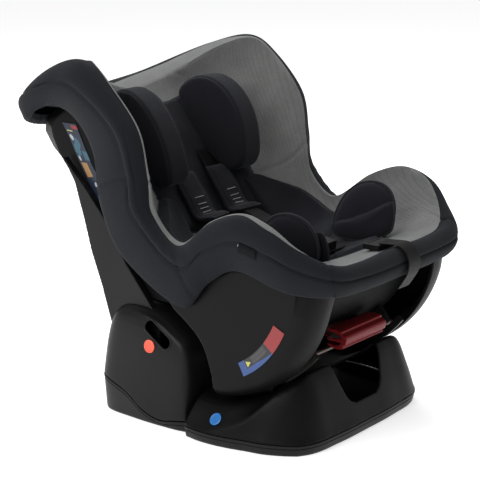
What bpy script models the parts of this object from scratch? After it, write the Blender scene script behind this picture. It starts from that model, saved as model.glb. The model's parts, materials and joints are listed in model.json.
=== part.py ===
"""Convertible car seat: a padded bucket that reclines on arc skirts in a base with a back support.

The seat faces -Y and the child's left is +X. Depths run backwards from the base's front edge.
"""
import math

import bmesh
import bpy
from mathutils import Matrix, Vector

# ---------------------------------------------------------------- driving dimensions, metres
FRONT_EDGE_Y = -0.2872      # y of the base's front edge, where depth is 0
CLEAR = 0.0004              # clearance between pieces that touch

PIVOT_DEPTH = 0.183         # centre of the skirts' arc, the recline axis
PIVOT_HEIGHT = 0.273
SKIRT_RADIUS = 0.207
CRADLE_RADIUS = 0.2125
SKIRT_FACE_X = 0.194        # outer face of a side skirt
SKIRT_WALL = 0.005

COVER_THICK = 0.0045        # quilted cover
LAYER_GAP = 0.0014          # between cover, foam and shell
SHELL_WALL = 0.0035

ROD_RADIUS = 0.004
ROD_ARC = 0.192             # lock rod's distance from the recline axis
ROD_ANGLE = 226.0           # degrees, from straight back, over the top
TRACK_X = 0.118
HANDLE_HALF = 0.056

PAN_WALL = 0.005
BASE_WALL = 0.004
BAND_HEIGHT = 0.0185        # height of the pan's edge band at the front

LABEL_THICK = 0.0006

# Rim of the seat, front centre to top centre, child's left half: (x, depth, height).
# EDGE is where the inner cover meets the rim cover, CROWN and SEAM run over the outside, HEM below.
EDGE = [(0, -.022, .292), (.100, -.022, .291), (.158, -.017, .298), (.194, .006, .328),
        (.212, .042, .360), (.214, .088, .372), (.210, .145, .352), (.200, .212, .306),
        (.201, .260, .342), (.203, .273, .400), (.207, .289, .472), (.208, .345, .539),
        (.199, .387, .569), (.154, .425, .553), (.078, .464, .508), (0, .480, .486)]
CROWN = [(0, -.044, .297), (.100, -.043, .296), (.162, -.037, .303), (.200, -.003, .326),
         (.222, .034, .350), (.228, .088, .363), (.226, .146, .342), (.218, .210, .300),
         (.220, .270, .346), (.223, .285, .402), (.227, .300, .472), (.227, .358, .534),
         (.217, .406, .560), (.186, .474, .546), (.096, .524, .511), (0, .544, .491)]
SEAM = [(0, -.058, .280), (.100, -.056, .279), (.168, -.047, .284), (.208, -.006, .300),
        (.226, .032, .319), (.231, .092, .333), (.229, .148, .309), (.224, .203, .276),
        (.227, .284, .340), (.229, .297, .405), (.233, .317, .466), (.233, .378, .516),
        (.225, .438, .531), (.193, .546, .499), (.098, .620, .463), (0, .640, .453)]
HEM = [(0, -.048, .256), (.100, -.046, .256), (.160, -.037, .258), (.198, .000, .263),
       (.209, .034, .270), (.209, .104, .284), (.207, .155, .258), (.203, .216, .208),
       (.204, .330, .268), (.205, .373, .345), (.206, .384, .425), (.205, .423, .474),
       (.200, .480, .488), (.180, .558, .456), (.090, .612, .429), (0, .630, .423)]
# Middle of the seat and backrest for the same stations: (depth, height).
SPINE = [(.018, .284), (.021, .283), (.026, .281), (.036, .276),
         (.066, .260), (.110, .243), (.160, .230), (.215, .226),
         (.270, .246), (.312, .290), (.360, .350), (.405, .410),
         (.434, .444), (.449, .461), (.457, .468), (.461, .470)]
STATIONS = len(EDGE) - 1
HALF_STEPS = 20             # steps from front centre to top centre
RIM_SPAN_STEPS = 2          # steps between hem, seam, crown and edge
BOWL_STEPS = 6
BOWL_SQUARENESS = 0.95      # 1 is an ellipse, less is boxier


# ---------------------------------------------------------------- small tools
def clear_scene():
    for old in list(bpy.data.objects):
        bpy.data.objects.remove(old)


def material(name, colour, roughness, metallic=0.0):
    mat = bpy.data.materials.new(name)
    mat.use_nodes = True
    shader = mat.node_tree.nodes["Principled BSDF"]
    shader.inputs["Base Color"].default_value = (*colour, 1.0)
    shader.inputs["Roughness"].default_value = roughness
    shader.inputs["Metallic"].default_value = metallic
    return mat


def at(x, depth, height):
    return Vector((x, depth + FRONT_EDGE_Y, height))


def pivot_point(x=0.0):
    return at(x, PIVOT_DEPTH, PIVOT_HEIGHT)


def on_arc(x, radius, degrees):
    """Point around the recline axis: 180 degrees is straight ahead, 270 straight down."""
    turn = math.radians(degrees)
    return at(x, PIVOT_DEPTH + radius * math.cos(turn), PIVOT_HEIGHT + radius * math.sin(turn))


def spline(points, position):
    """Catmull-Rom value at a position counted in control points."""
    last = len(points) - 1
    span = min(int(position), last - 1)
    t = position - span
    p1 = Vector(points[span])
    p2 = Vector(points[span + 1])
    p0 = Vector(points[span - 1]) if span > 0 else p1 * 2 - p2
    p3 = Vector(points[span + 2]) if span + 2 <= last else p2 * 2 - p1
    return 0.5 * (2 * p1 + (p2 - p0) * t + (2 * p0 - 5 * p1 + 4 * p2 - p3) * t * t
                  + (3 * p1 - p0 - 3 * p2 + p3) * t * t * t)


def smooth_path(points, steps_per_span):
    count = (len(points) - 1) * steps_per_span
    return [spline(points, i / steps_per_span) for i in range(count + 1)]


def add_object(name, mesh_data, mat, holder=None):
    """Link a bmesh as an object whose origin is its holder's, or the world's."""
    bmesh.ops.recalc_face_normals(mesh_data, faces=mesh_data.faces[:])
    mesh = bpy.data.meshes.new(name)
    if holder is not None:
        mesh_data.transform(Matrix.Translation(-holder.location))
    mesh_data.to_mesh(mesh)
    mesh_data.free()
    mesh.materials.append(mat)
    mesh.shade_smooth()
    mesh.set_sharp_from_angle(angle=math.radians(40))
    obj = bpy.data.objects.new(name, mesh)
    obj.parent = holder
    bpy.context.collection.objects.link(obj)
    return obj


def add_axis(name, place):
    empty = bpy.data.objects.new(name, None)
    empty.location = place
    bpy.context.collection.objects.link(empty)
    return empty


def shape_with(target, cutter, operation="DIFFERENCE"):
    cutter.hide_render = True
    cutter.display_type = "WIRE"
    mod = target.modifiers.new(cutter.name, "BOOLEAN")
    mod.object = cutter
    mod.operation = operation
    mod.solver = "EXACT"


def add_bevel(obj, width, segments, angle=40):
    mod = obj.modifiers.new("edges", "BEVEL")
    mod.width = width
    mod.segments = segments
    mod.limit_method = "ANGLE"
    mod.angle_limit = math.radians(angle)
    return obj


def grid_solid(name, outer, inner, mat, holder=None, wrap=False):
    """Closed solid between two grids of points; wrap joins the last row to the first."""
    bm = bmesh.new()
    top = [[bm.verts.new(p) for p in row] for row in outer]
    low = [[bm.verts.new(p) for p in row] for row in inner]
    rows = len(outer)
    cols = len(outer[0])
    for i in range(rows if wrap else rows - 1):
        k = (i + 1) % rows
        for j in range(cols - 1):
            bm.faces.new((top[i][j], top[k][j], top[k][j + 1], top[i][j + 1]))
            bm.faces.new((low[i][j + 1], low[k][j + 1], low[k][j], low[i][j]))
        bm.faces.new((top[k][0], top[i][0], low[i][0], low[k][0]))
        bm.faces.new((top[i][-1], top[k][-1], low[k][-1], low[i][-1]))
    if not wrap:
        for j in range(cols - 1):
            bm.faces.new((top[0][j], top[0][j + 1], low[0][j + 1], low[0][j]))
            bm.faces.new((top[-1][j + 1], top[-1][j], low[-1][j], low[-1][j + 1]))
    return add_object(name, bm, mat, holder)


def prism(name, outline, x_low, x_high, mat, holder=None):
    """Solid from a (depth, height) outline, extruded along X."""
    bm = bmesh.new()
    left = [bm.verts.new(at(x_low, d, z)) for d, z in outline]
    right = [bm.verts.new(at(x_high, d, z)) for d, z in outline]
    bm.faces.new(left)
    bm.faces.new(right[::-1])
    for i in range(len(outline)):
        k = (i + 1) % len(outline)
        bm.faces.new((left[k], left[i], right[i], right[k]))
    return add_object(name, bm, mat, holder)


def box(name, low, high, mat, holder=None):
    """Box from its low and high corners, each (x, depth, height)."""
    outline = [(low[1], low[2]), (high[1], low[2]), (high[1], high[2]), (low[1], high[2])]
    return prism(name, outline, low[0], high[0], mat, holder)


def rod(name, start, end, radius, mat, holder=None, sides=16):
    axis = end - start
    turn = axis.to_track_quat("Z", "Y").to_matrix().to_4x4()
    bm = bmesh.new()
    place = Matrix.Translation((start + end) / 2) @ turn
    bmesh.ops.create_cone(bm, cap_ends=True, segments=sides, radius1=radius, radius2=radius,
                          depth=axis.length, matrix=place)
    return add_object(name, bm, mat, holder)


def ribbon(name, centres, width, thick, mat, holder=None, across=(1, 0, 0)):
    """Flat webbing along a path; the width lies along the across direction."""
    outer = []
    inner = []
    for i, here in enumerate(centres):
        before = centres[max(i - 1, 0)]
        after = centres[min(i + 1, len(centres) - 1)]
        side = Vector(across)
        along = (after - before).normalized()
        side = (side - along * side.dot(along)).normalized()
        up = side.cross(along)
        outer.append([here + side * (width / 2 * k) + up * thick / 2 for k in (-1, 0, 1)])
        inner.append([here + side * (width / 2 * k) - up * thick / 2 for k in (-1, 0, 1)])
    return grid_solid(name, outer, inner, mat, holder)


def cushion(name, centre, half, turn, mat, holder=None, rings=6, sides=14, squareness=0.6):
    """Crowned pad: a superellipsoid with half sizes along its own axes, turned by a matrix."""
    def power(value):
        return math.copysign(abs(value) ** squareness, value)

    bm = bmesh.new()
    top = bm.verts.new(centre + turn @ Vector((0, 0, half[2])))
    low = bm.verts.new(centre + turn @ Vector((0, 0, -half[2])))
    loops = []
    for i in range(1, rings):
        lat = math.pi / 2 - math.pi * i / rings
        loop = []
        for k in range(sides):
            lon = 2 * math.pi * k / sides
            flat = power(math.cos(lat))
            point = Vector((half[0] * flat * power(math.cos(lon)),
                            half[1] * flat * power(math.sin(lon)),
                            half[2] * math.sin(lat)))
            loop.append(bm.verts.new(centre + turn @ point))
        loops.append(loop)
    for k in range(sides):
        n = (k + 1) % sides
        bm.faces.new((top, loops[0][k], loops[0][n]))
        bm.faces.new((low, loops[-1][n], loops[-1][k]))
        for a, b in zip(loops, loops[1:]):
            bm.faces.new((a[k], b[k], b[n], a[n]))
    return add_object(name, bm, mat, holder)


# ---------------------------------------------------------------- seat surface
def seat_section(station, side):
    """Points of one section: hem, seam, crown, edge, then down the bowl to the spine."""
    marks = [spline(line, station) for line in (HEM, SEAM, CROWN, EDGE)]
    over = smooth_path(marks, RIM_SPAN_STEPS)
    edge = marks[-1]
    middle = spline([(0, d, z) for d, z in SPINE], station)
    for step in range(1, BOWL_STEPS + 1):
        over.append(bowl_between(edge, middle, step / BOWL_STEPS))
    return [at(p.x * side, p.y, p.z) for p in over]


def bowl_between(edge, middle, share):
    """Point on a section from the edge, share 0, to the spine, share 1."""
    turn = math.radians(90) * (1 - share)
    out = math.sin(turn) ** BOWL_SQUARENESS if turn > 0 else 0.0
    rise = 1 - abs(math.cos(turn)) ** BOWL_SQUARENESS
    return Vector((edge.x * out, middle.y + (edge.y - middle.y) * rise,
                   middle.z + (edge.z - middle.z) * rise))


def seat_grid():
    """The seat's visible surface as a closed loop of sections, and its normals."""
    stations = [(i * STATIONS / HALF_STEPS, 1) for i in range(HALF_STEPS + 1)]
    stations += [(i * STATIONS / HALF_STEPS, -1) for i in range(HALF_STEPS - 1, 0, -1)]
    points = [seat_section(s, side) for s, side in stations]
    count = len(points)
    last = len(points[0]) - 1
    normals = []
    for i in range(count):
        row = []
        for j in range(last + 1):
            along = points[(i + 1) % count][j] - points[i - 1][j]
            ahead = points[-i % count][j - 1] if j == last else points[i][j + 1]
            behind = points[i][j - 1] if j > 0 else points[i][j]
            if j == last and abs(points[i][j - 1].x) < 1e-6:
                ahead = points[i][j]
            normal = along.cross(ahead - behind)
            if j == last or i % HALF_STEPS == 0:
                normal.x = 0.0
            row.append(normal.normalized())
        normals.append(row)
    fix_spine_normals(normals)
    return points, normals


def fix_spine_normals(normals):
    """At the spine the surface looks up and forward, square to the spine line."""
    count = len(normals)
    for i in range(count):
        station = min(i, count - i) * STATIONS / HALF_STEPS
        near = spline(SPINE, max(station - 0.5, 0.0))
        far = spline(SPINE, min(station + 0.5, STATIONS))
        run = (far - near).normalized()
        normals[i][-1] = Vector((0, -run.y, run.x))


def layer(name, grid, columns, depths, mat, holder, nudge=0.0):
    """Solid between two depths under the seat surface, through the given columns."""
    points, normals = grid
    outer = []
    inner = []
    for row, norms in zip(points, normals):
        top = []
        low = []
        for j in columns:
            near, far = depths(j)
            place = row[j]
            if j == columns[0] and nudge > 0:
                place = place.lerp(row[j + 1], nudge)
            top.append(place - norms[j] * near)
            low.append(place - norms[j] * far)
        outer.append(top)
        inner.append(low)
    zipped = columns[-1] == len(points[0]) - 1
    return grid_solid_ring(name, outer, inner, mat, holder, zipped)


def split_quad(bm, grid, i, k, j, rising):
    """Two triangles whose diagonal mirrors over the seat's middle, so that layers stay parallel."""
    a, b, c, d = grid[i][j], grid[k][j], grid[k][j + 1], grid[i][j + 1]
    if rising:
        bm.faces.new((a, b, c))
        bm.faces.new((a, c, d))
    else:
        bm.faces.new((a, b, d))
        bm.faces.new((b, c, d))


def spine_faces(bm, grid, i, k, last, rows):
    """Two triangles beside the spine; at the centre sections both halves fan from the spine."""
    if i % (rows // 2) == 0:
        bm.faces.new((grid[i][last - 1], grid[k][last - 1], grid[i][last]))
        bm.faces.new((grid[k][last - 1], grid[k][last], grid[i][last]))
    else:
        bm.faces.new((grid[i][last - 1], grid[k][last - 1], grid[k][last]))
        bm.faces.new((grid[i][last - 1], grid[k][last], grid[i][last]))


def grid_solid_ring(name, outer, inner, mat, holder, zipped):
    """Ring of sections; zipped welds the two halves along the spine instead of leaving a hole."""
    bm = bmesh.new()
    top = [[bm.verts.new(p) for p in row] for row in outer]
    low = [[bm.verts.new(p) for p in row] for row in inner]
    rows = len(outer)
    last = len(outer[0]) - 1
    for i in range(rows):
        k = (i + 1) % rows
        for j in range(last - 1 if zipped else last):
            split_quad(bm, top, i, k, j, i < rows // 2)
            split_quad(bm, low, i, k, j, i < rows // 2)
        bm.faces.new((top[k][0], top[i][0], low[i][0], low[k][0]))
        if zipped:
            spine_faces(bm, top, i, k, last, rows)
            spine_faces(bm, low, i, k, last, rows)
        else:
            bm.faces.new((top[i][-1], top[k][-1], low[k][-1], low[i][-1]))
    if zipped:
        bmesh.ops.remove_doubles(bm, verts=bm.verts[:], dist=0.00002)
    return add_object(name, bm, mat, holder)


def seat_spot(station, share, side, lift):
    """Point above the seat surface; share runs from the edge, 0, to the spine, 1."""
    edge = spline(EDGE, station)
    middle = spline([(0, d, z) for d, z in SPINE], station)

    def surface(s, a):
        e = spline(EDGE, s)
        m = spline([(0, d, z) for d, z in SPINE], s)
        return bowl_between(e, m, a)

    step = 0.05
    here = bowl_between(edge, middle, share)
    along = surface(min(station + step, STATIONS), share) - surface(max(station - step, 0), share)
    inward = surface(station, min(share + step, 1.0)) - surface(station, max(share - step, 0.0))
    normal = along.cross(inward)
    if share > 1 - step:
        normal.x = 0.0
    here = here + normal.normalized() * lift
    return at(here.x * side, here.y, here.z)


def steps(low, high, count):
    return [low + (high - low) * i / count for i in range(count + 1)]


# ---------------------------------------------------------------- seat body
def make_seat_covers(mats, holder):
    grid = seat_grid()
    edge_col = RIM_SPAN_STEPS * 3
    spine_col = edge_col + BOWL_STEPS

    def cover(_):
        return 0.0, COVER_THICK

    def foam(j):
        deep = 0.0015 + 0.0065 * min((j - edge_col - 1) / 3, 1.0)
        return COVER_THICK + LAYER_GAP, COVER_THICK + LAYER_GAP + deep

    def shell(j):
        if j < edge_col:
            near = COVER_THICK + 2.5 * LAYER_GAP
        elif j == edge_col + 1:
            near = COVER_THICK + LAYER_GAP
        else:
            near = foam(j)[1] + LAYER_GAP
        return near, near + SHELL_WALL

    layer("cover_rim", grid, list(range(edge_col + 1)), cover, mats["rim fabric"], holder)
    bowl = list(range(edge_col, spine_col + 1))
    layer("cover_inner", grid, bowl, cover, mats["inner fabric"], holder, 0.08)
    layer("foam_liner", grid, bowl[2:], foam, mats["foam"], holder)
    # the shell's rim runs straight from outside to inside, below the padded crown
    layer("seat_shell", grid, [1, 2] + bowl[1:], shell, mats["plastic"], holder)


def make_back_housing(mats, holder):
    """Hollow rear box of the seat: side walls back to a ridge, then a chamfered rear face."""
    half = 0.147
    wall = 0.004
    # (height, front depth, ridge depth, rear x, rear depth, middle depth)
    levels = [(.440, .475, .532, .100, .590, .606), (.420, .450, .526, .100, .592, .605),
              (.395, .422, .512, .100, .574, .585), (.362, .394, .484, .105, .520, .527),
              (.300, .356, .428, .115, .434, .436), (.240, .312, .385, .120, .392, .394),
              (.186, .262, .330, .120, .337, .339)]
    outer = []
    inner = []
    for z, front, ridge, rear_x, rear, middle in levels:
        line = [(-half, front), (-half, (front + ridge) / 2), (-half, ridge), (-rear_x, rear),
                (0, middle), (rear_x, rear), (half, ridge), (half, (front + ridge) / 2), (half, front)]
        outer.append([at(x, d, z) for x, d in line])
        inner.append([at(x * (1 - wall / half), d - wall * (abs(x) < half), z) for x, d in line])
    inner_fixed = []
    for row, level in zip(inner, levels):
        ridge = level[2]
        fixed = list(row)
        for index in (2, 6):
            fixed[index] = at(row[index].x, ridge - wall * 0.6, level[0])
        inner_fixed.append(fixed)
    obj = grid_solid("seat_back_housing", outer, inner_fixed, mats["plastic"], holder)
    return obj


def skirt_outline():
    """Side plate of a skirt inside its rolled rim: (depth, height)."""
    plate_radius = 0.176
    top = [(.012, .270), (.055, .279), (.095, .281), (.125, .278), (.166, .256), (.200, .240), (.262, .228)]
    rear = [(.236, .198), (.211, .181), (.190, .164), (.175, .143), (.164, .112), (.160, .100)]
    arc = []
    for degrees in range(262, 179, -6):
        turn = math.radians(degrees)
        arc.append((PIVOT_DEPTH + plate_radius * math.cos(turn),
                    PIVOT_HEIGHT + plate_radius * math.sin(turn)))
    return top + rear + arc


def make_skirt(name, side, mats, holder):
    face = SKIRT_FACE_X
    plate = prism(name, skirt_outline(), side * (face - SKIRT_WALL), side * face,
                  mats["plastic"], holder)
    # rolled rim, from the plate round to the inner lip: (radius, x), outside then inside
    outside = [(.172, .194), (.186, .1925), (.196, .1865), (.203, .175), (SKIRT_RADIUS, .159),
               (SKIRT_RADIUS, .142)]
    inside = [(.172, .1895), (.184, .1880), (.192, .182), (.1985, .172), (.202, .158), (.202, .142)]
    angles = steps(180, 263, 14)
    draw_in = [1 - 0.045 * max(0, 1 - (a - 180) / 14) for a in angles]
    outer = [[on_arc(side * x * k, r, a) for r, x in outside] for a, k in zip(angles, draw_in)]
    inner = [[on_arc(side * x * k, r, a) for r, x in inside] for a, k in zip(angles, draw_in)]
    rim = grid_solid(name + "_rim_tool", outer, inner, mats["plastic"])
    shape_with(plate, rim, "UNION")
    return plate


def make_underside(mats, holder):
    """Curved panel between the skirts, with a slot for the recline handle's tongue."""
    radius = 0.165
    wall = 0.005
    angles = steps(189, 262, 12)
    xs = steps(-0.139, 0.139, 4)
    outer = [[on_arc(x, radius, a) for x in xs] for a in angles]
    inner = [[on_arc(x, radius - wall, a) for x in xs] for a in angles]
    panel = grid_solid("seat_underside", outer, inner, mats["plastic"], holder)
    slot = box("handle_slot_tool", (-0.046, .040, .149), (0.046, .090, .166), mats["plastic"])
    shape_with(panel, slot)
    return panel


def make_handle(mats, holder):
    """Red C-shaped grip across the front with a flat tongue that slides into the seat."""
    outline = [(.012, .157), (.014, .149), (.020, .143), (.032, .140), (.046, .143), (.046, .1465),
               (.033, .1445), (.024, .147), (.020, .151), (.050, .151), (.088, .151), (.088, .1545),
               (.050, .1545), (.020, .157), (.022, .161), (.030, .164), (.046, .166), (.046, .1695),
               (.027, .168), (.016, .164)]
    grip = prism("recline_handle", outline, -HANDLE_HALF, HANDLE_HALF, mats["red"], holder)
    for side in (-1, 1):
        trim = box("handle_trim_tool", (0, .047, .140), (0.03, .100, .170), mats["red"])
        for vert in trim.data.vertices:
            vert.co.x = side * (0.042 + vert.co.x)
        if side < 0:
            trim.data.flip_normals()
        shape_with(grip, trim)
    return grip


def make_spring(name, centre, radius, length, turns, wire, mat, holder):
    """Compression spring along depth: six-sided wire swept round a helix."""
    per_turn = 10
    count = turns * per_turn
    points = []
    for i in range(count + 1):
        turn = 2 * math.pi * i / per_turn
        points.append(centre + Vector((radius * math.cos(turn), length * i / count,
                                       radius * math.sin(turn))))
    bm = bmesh.new()
    loops = []
    for i, here in enumerate(points):
        along = (points[min(i + 1, count)] - points[max(i - 1, 0)]).normalized()
        side = along.cross(Vector((0, 1, 0))).normalized()
        up = side.cross(along)
        loop = []
        for k in range(6):
            turn = 2 * math.pi * k / 6
            loop.append(bm.verts.new(here + (side * math.cos(turn) + up * math.sin(turn)) * wire))
        loops.append(loop)
    for a, b in zip(loops, loops[1:]):
        for k in range(6):
            n = (k + 1) % 6
            bm.faces.new((a[k], a[n], b[n], b[k]))
    bm.faces.new(loops[0][::-1])
    bm.faces.new(loops[-1])
    return add_object(name, bm, mat, holder)


def make_rod_guide(name, x, mats, holder):
    """Plate under the seat that carries one end of the lock rod in a radial slot."""
    half = 0.003
    low_angle = ROD_ANGLE - 7
    high_angle = ROD_ANGLE + 7
    outline = []
    for radius, angle in ((.1672, low_angle), (.1672, high_angle), (.1965, high_angle - 2),
                          (.1965, low_angle + 2)):
        turn = math.radians(angle)
        outline.append((PIVOT_DEPTH + radius * math.cos(turn), PIVOT_HEIGHT + radius * math.sin(turn)))
    plate = prism(name, outline, x - half, x + half, mats["plastic"], holder)
    turn = math.radians(ROD_ANGLE)
    slot = []
    reach = ROD_RADIUS + CLEAR
    for radius, across in ((.178, -reach), (.178, reach), (.201, reach), (.201, -reach)):
        slot.append((PIVOT_DEPTH + radius * math.cos(turn) - across * math.sin(turn),
                     PIVOT_HEIGHT + radius * math.sin(turn) + across * math.cos(turn)))
    cutter = prism(name + "_tool", slot, x - 2 * half, x + 2 * half, mats["plastic"])
    shape_with(plate, cutter)
    return plate


# ---------------------------------------------------------------- insert and harness
def pad_on_seat(name, stations, columns, lift, thick, mat, holder, crown=0.5):
    """Pad lying on the seat surface; columns are (side, share) pairs across it."""
    low = []
    top = []
    for a, station in enumerate(stations):
        low_row = []
        top_row = []
        for b, (side, share) in enumerate(columns):
            bulge = math.sin(math.pi * a / (len(stations) - 1)) * math.sin(math.pi * b / (len(columns) - 1))
            swell = thick * (1 - crown + crown * max(bulge, 0.0) ** 0.5)
            low_row.append(seat_spot(station, share, side, lift))
            top_row.append(seat_spot(station, share, side, lift + swell))
        low.append(low_row)
        top.append(top_row)
    return grid_solid(name, top, low, mat, holder)


def both_sides(low_share, count):
    """Columns from the child's right edge share over the spine to the left one."""
    shares = steps(low_share, 1.0, count)
    return [(-1, s) for s in shares] + [(1, s) for s in shares[-2::-1]]


def make_insert(mats, holder):
    dark = mats["insert fabric"]
    lift = 0.0014
    step = STATIONS / HALF_STEPS

    def stations(first, last):
        return [step * i for i in range(first, last + 1)]

    pad_on_seat("insert_back", stations(12, 16), both_sides(4 / 6, 2), lift, .009, dark, holder, .3)
    pad_on_seat("insert_seat", stations(6, 11), both_sides(4 / 6, 2), lift, .012, dark, holder, .3)
    # wings of the insert: (name, centre, half sizes, lean about X, lean about Y), degrees
    wings = [("head_pillow_", (.092, .361, .449), (.039, .031, .080), -40, 0),
             ("hip_wing_", (.127, .222, .302), (.014, .066, .032), 15, 10),
             ("thigh_wing_", (.112, .096, .322), (.013, .052, .042), 0, 14)]
    for label, side in (("left", 1), ("right", -1)):
        for name, (x, depth, height), half, lean_x, lean_y in wings:
            turn = Matrix.Rotation(math.radians(lean_x), 3, "X")
            turn = turn @ Matrix.Rotation(math.radians(lean_y * side), 3, "Y")
            cushion(name + label, at(side * x, depth, height), half, turn, dark, holder)


BUCKLE_DEPTH = 0.118        # middle of the buckle
BUCKLE_BASE = 0.2680        # underside of the buckle
BUCKLE_TILT = 8.0           # degrees, rear end raised


def buckle_frame():
    """Matrix that takes the buckle's own axes, X across, Y back, Z up, to the seat."""
    turn = Matrix.Rotation(math.radians(BUCKLE_TILT), 4, "X")
    return Matrix.Translation(at(0, BUCKLE_DEPTH, BUCKLE_BASE)) @ turn


def local_block(name, low, high, frame, mat, holder, bevel=0.0):
    bm = bmesh.new()
    bmesh.ops.create_cube(bm, size=1.0)
    for vert in bm.verts:
        for axis in range(3):
            vert.co[axis] = low[axis] if vert.co[axis] < 0 else high[axis]
    bm.transform(frame)
    obj = add_object(name, bm, mat, holder)
    if bevel > 0:
        add_bevel(obj, bevel, 3)
    return obj


def make_buckle(mats, holder, button_axis):
    frame = buckle_frame()
    body = local_block("buckle_body", (-.023, -.031, .0005), (.023, .031, .0225), frame,
                       mats["plastic"], holder, .004)
    pocket = local_block("buckle_pocket_tool", (-.0125, -.0165, .0100), (.0125, .0125, .03), frame,
                         mats["plastic"], None)
    shape_with(body, pocket)
    mouth = local_block("buckle_mouth_tool", (-.0215, .0200, .0075), (.0215, .04, .0125), frame,
                        mats["plastic"], None)
    shape_with(body, mouth)
    local_block("buckle_button", (-.0121, -.0161, .0150), (.0121, .0121, .0255), frame,
                mats["red"], button_axis, .0012)
    for label, side in (("left", 1), ("right", -1)):
        tongue = local_block("buckle_tongue_" + label, (min(side * .0012, side * .0205), .0204, .0085),
                             (max(side * .0012, side * .0205), .060, .0115), frame,
                             mats["steel"], holder)
        eye = local_block("tongue_eye_tool_" + label, (min(side * .004, side * .018), .047, 0),
                          (max(side * .004, side * .018), .054, .03), frame, mats["steel"], None)
        shape_with(tongue, eye)


def make_harness(mats, holder):
    web = mats["webbing"]
    for label, side in (("left", 1), ("right", -1)):
        over = [seat_spot(s, .875, side, .0148) for s in (10.5, 10.0, 9.5, 9.0)]
        path = over + [at(side * .036, .264, .3060), at(side * .028, .224, .2990),
                       at(side * .0195, .1850, .2945)]
        ribbon("shoulder_strap_" + label, smooth_path(path, 3), .030, .0014, web, holder)
        pad_path = [path[0].lerp(path[1], .6)] + path[1:4]
        pad_path = [p + Vector((0, -.0064, .0060)) for p in pad_path]
        ribbon("shoulder_pad_" + label, smooth_path(pad_path, 2), .054, .0130,
               mats["insert fabric"], holder)
        lap = [at(side * .043, .1780, .2790), at(side * .060, .203, .2740),
               seat_spot(7.3, .78, side, .0270), seat_spot(7.45, .70, side, .0270)]
        ribbon("lap_strap_" + label, smooth_path(lap, 3), .026, .0014, web, holder, (.3 * side, 1, .6))
    frame = buckle_frame()
    low_end = frame @ Vector((0, -.0318, .009))
    crotch = [low_end, low_end + Vector((0, -.010, .0005)), at(0, .0640, .2810)]
    ribbon("crotch_strap", smooth_path(crotch, 3), .034, .0014, web, holder)
    pad_on_seat("crotch_pad", (3, 3.75), both_sides(5 / 6, 1), .0014, .010,
                mats["insert fabric"], holder, 0)


def make_adjuster(mats, holder, lever_axis):
    """Front harness adjuster: a bezel, its release lever and the pull strap over the rim."""
    middle_x = 0.006
    low = (middle_x - .024, -.018, .2925)
    high = (middle_x + .024, .010, .3015)
    bezel = box("adjuster_bezel", low, high, mats["plastic"], holder)
    add_bevel(bezel, .0015, 2)
    window = box("adjuster_window_tool", (middle_x - .0185, -.0125, .2942),
                 (middle_x + .0185, .0045, .31), mats["plastic"])
    shape_with(bezel, window)
    lever = box("adjuster_lever", (middle_x - .0181, -.0121, .2982), (middle_x + .0181, .0041, .3010),
                mats["steel"], lever_axis)
    add_bevel(lever, .0008, 2)
    route = [(-.0135, .3029), (-.020, .3030), (-.032, .3042), (-.047, .3040), (-.060, .2960),
             (-.0665, .2800), (-.0640, .2640), (-.0560, .2500), (-.0480, .2380)]
    path = smooth_path([at(middle_x, d, z) for d, z in route], 3)
    ribbon("adjuster_strap", path, .032, .0014, mats["webbing"], holder)


# ---------------------------------------------------------------- base
def net_surface(net, steps_across, steps_along):
    """Smooth grid through a half net of (x, depth, height) rows, mirrored over X."""
    rows = []
    for i in range((len(net) - 1) * steps_along + 1):
        position = i / steps_along
        knots = [spline([row[c] for row in net], position) for c in range(len(net[0]))]
        half = smooth_path(knots, steps_across)
        rows.append([Vector((-p.x, p.y, p.z)) for p in half[:0:-1]] + half)
    return rows


def net_shell(name, net, wall, mat, steps_across=2, steps_along=2):
    """Open moulding of even wall thickness under a mirrored net."""
    rows = net_surface(net, steps_across, steps_along)
    outer = []
    inner = []
    for i, row in enumerate(rows):
        outer_row = []
        inner_row = []
        for j, place in enumerate(row):
            along = rows[min(i + 1, len(rows) - 1)][j] - rows[max(i - 1, 0)][j]
            across = row[min(j + 1, len(row) - 1)] - row[max(j - 1, 0)]
            normal = across.cross(along).normalized()
            inside = place - normal * wall
            lowest = place.z if i in (0, len(rows) - 1) else row[0].z
            inside.z = max(inside.z, lowest)
            outer_row.append(at(*place))
            inner_row.append(at(*inside))
        outer.append(outer_row)
        inner.append(inner_row)
    return grid_solid(name, outer, inner, mat)


FRONT_NET = [
    [(0, 0, .0189), (.05, 0, .0189), (.09, .002, .0189), (.122, .004, .0189), (.146, .010, .0189),
     (.165, .021, .0189)],
    [(0, .014, .065), (.05, .014, .065), (.09, .015, .066), (.124, .017, .066), (.152, .026, .052),
     (.179, .042, .0189)],
    [(0, .030, .108), (.05, .030, .108), (.09, .031, .110), (.128, .034, .106), (.163, .048, .068),
     (.191, .069, .0189)],
    [(0, .042, .115), (.05, .042, .115), (.09, .043, .115), (.128, .051, .109), (.170, .073, .076),
     (.197, .097, .0189)],
    [(0, .070, .093), (.05, .070, .093), (.10, .072, .092), (.142, .081, .086), (.187, .105, .049),
     (.204, .126, .0189)],
    [(0, .120, .0695), (.06, .120, .0695), (.12, .120, .0695), (.165, .128, .0650), (.198, .146, .033),
     (.208, .156, .0189)],
    [(0, .165, .0600), (.06, .165, .0600), (.125, .165, .0600), (.168, .170, .0580), (.201, .178, .026),
     (.208, .183, .0189)],
    [(0, .207, .0610), (.06, .207, .0610), (.125, .207, .0610), (.166, .207, .0590), (.199, .207, .030),
     (.204, .207, .0189)],
]
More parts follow.
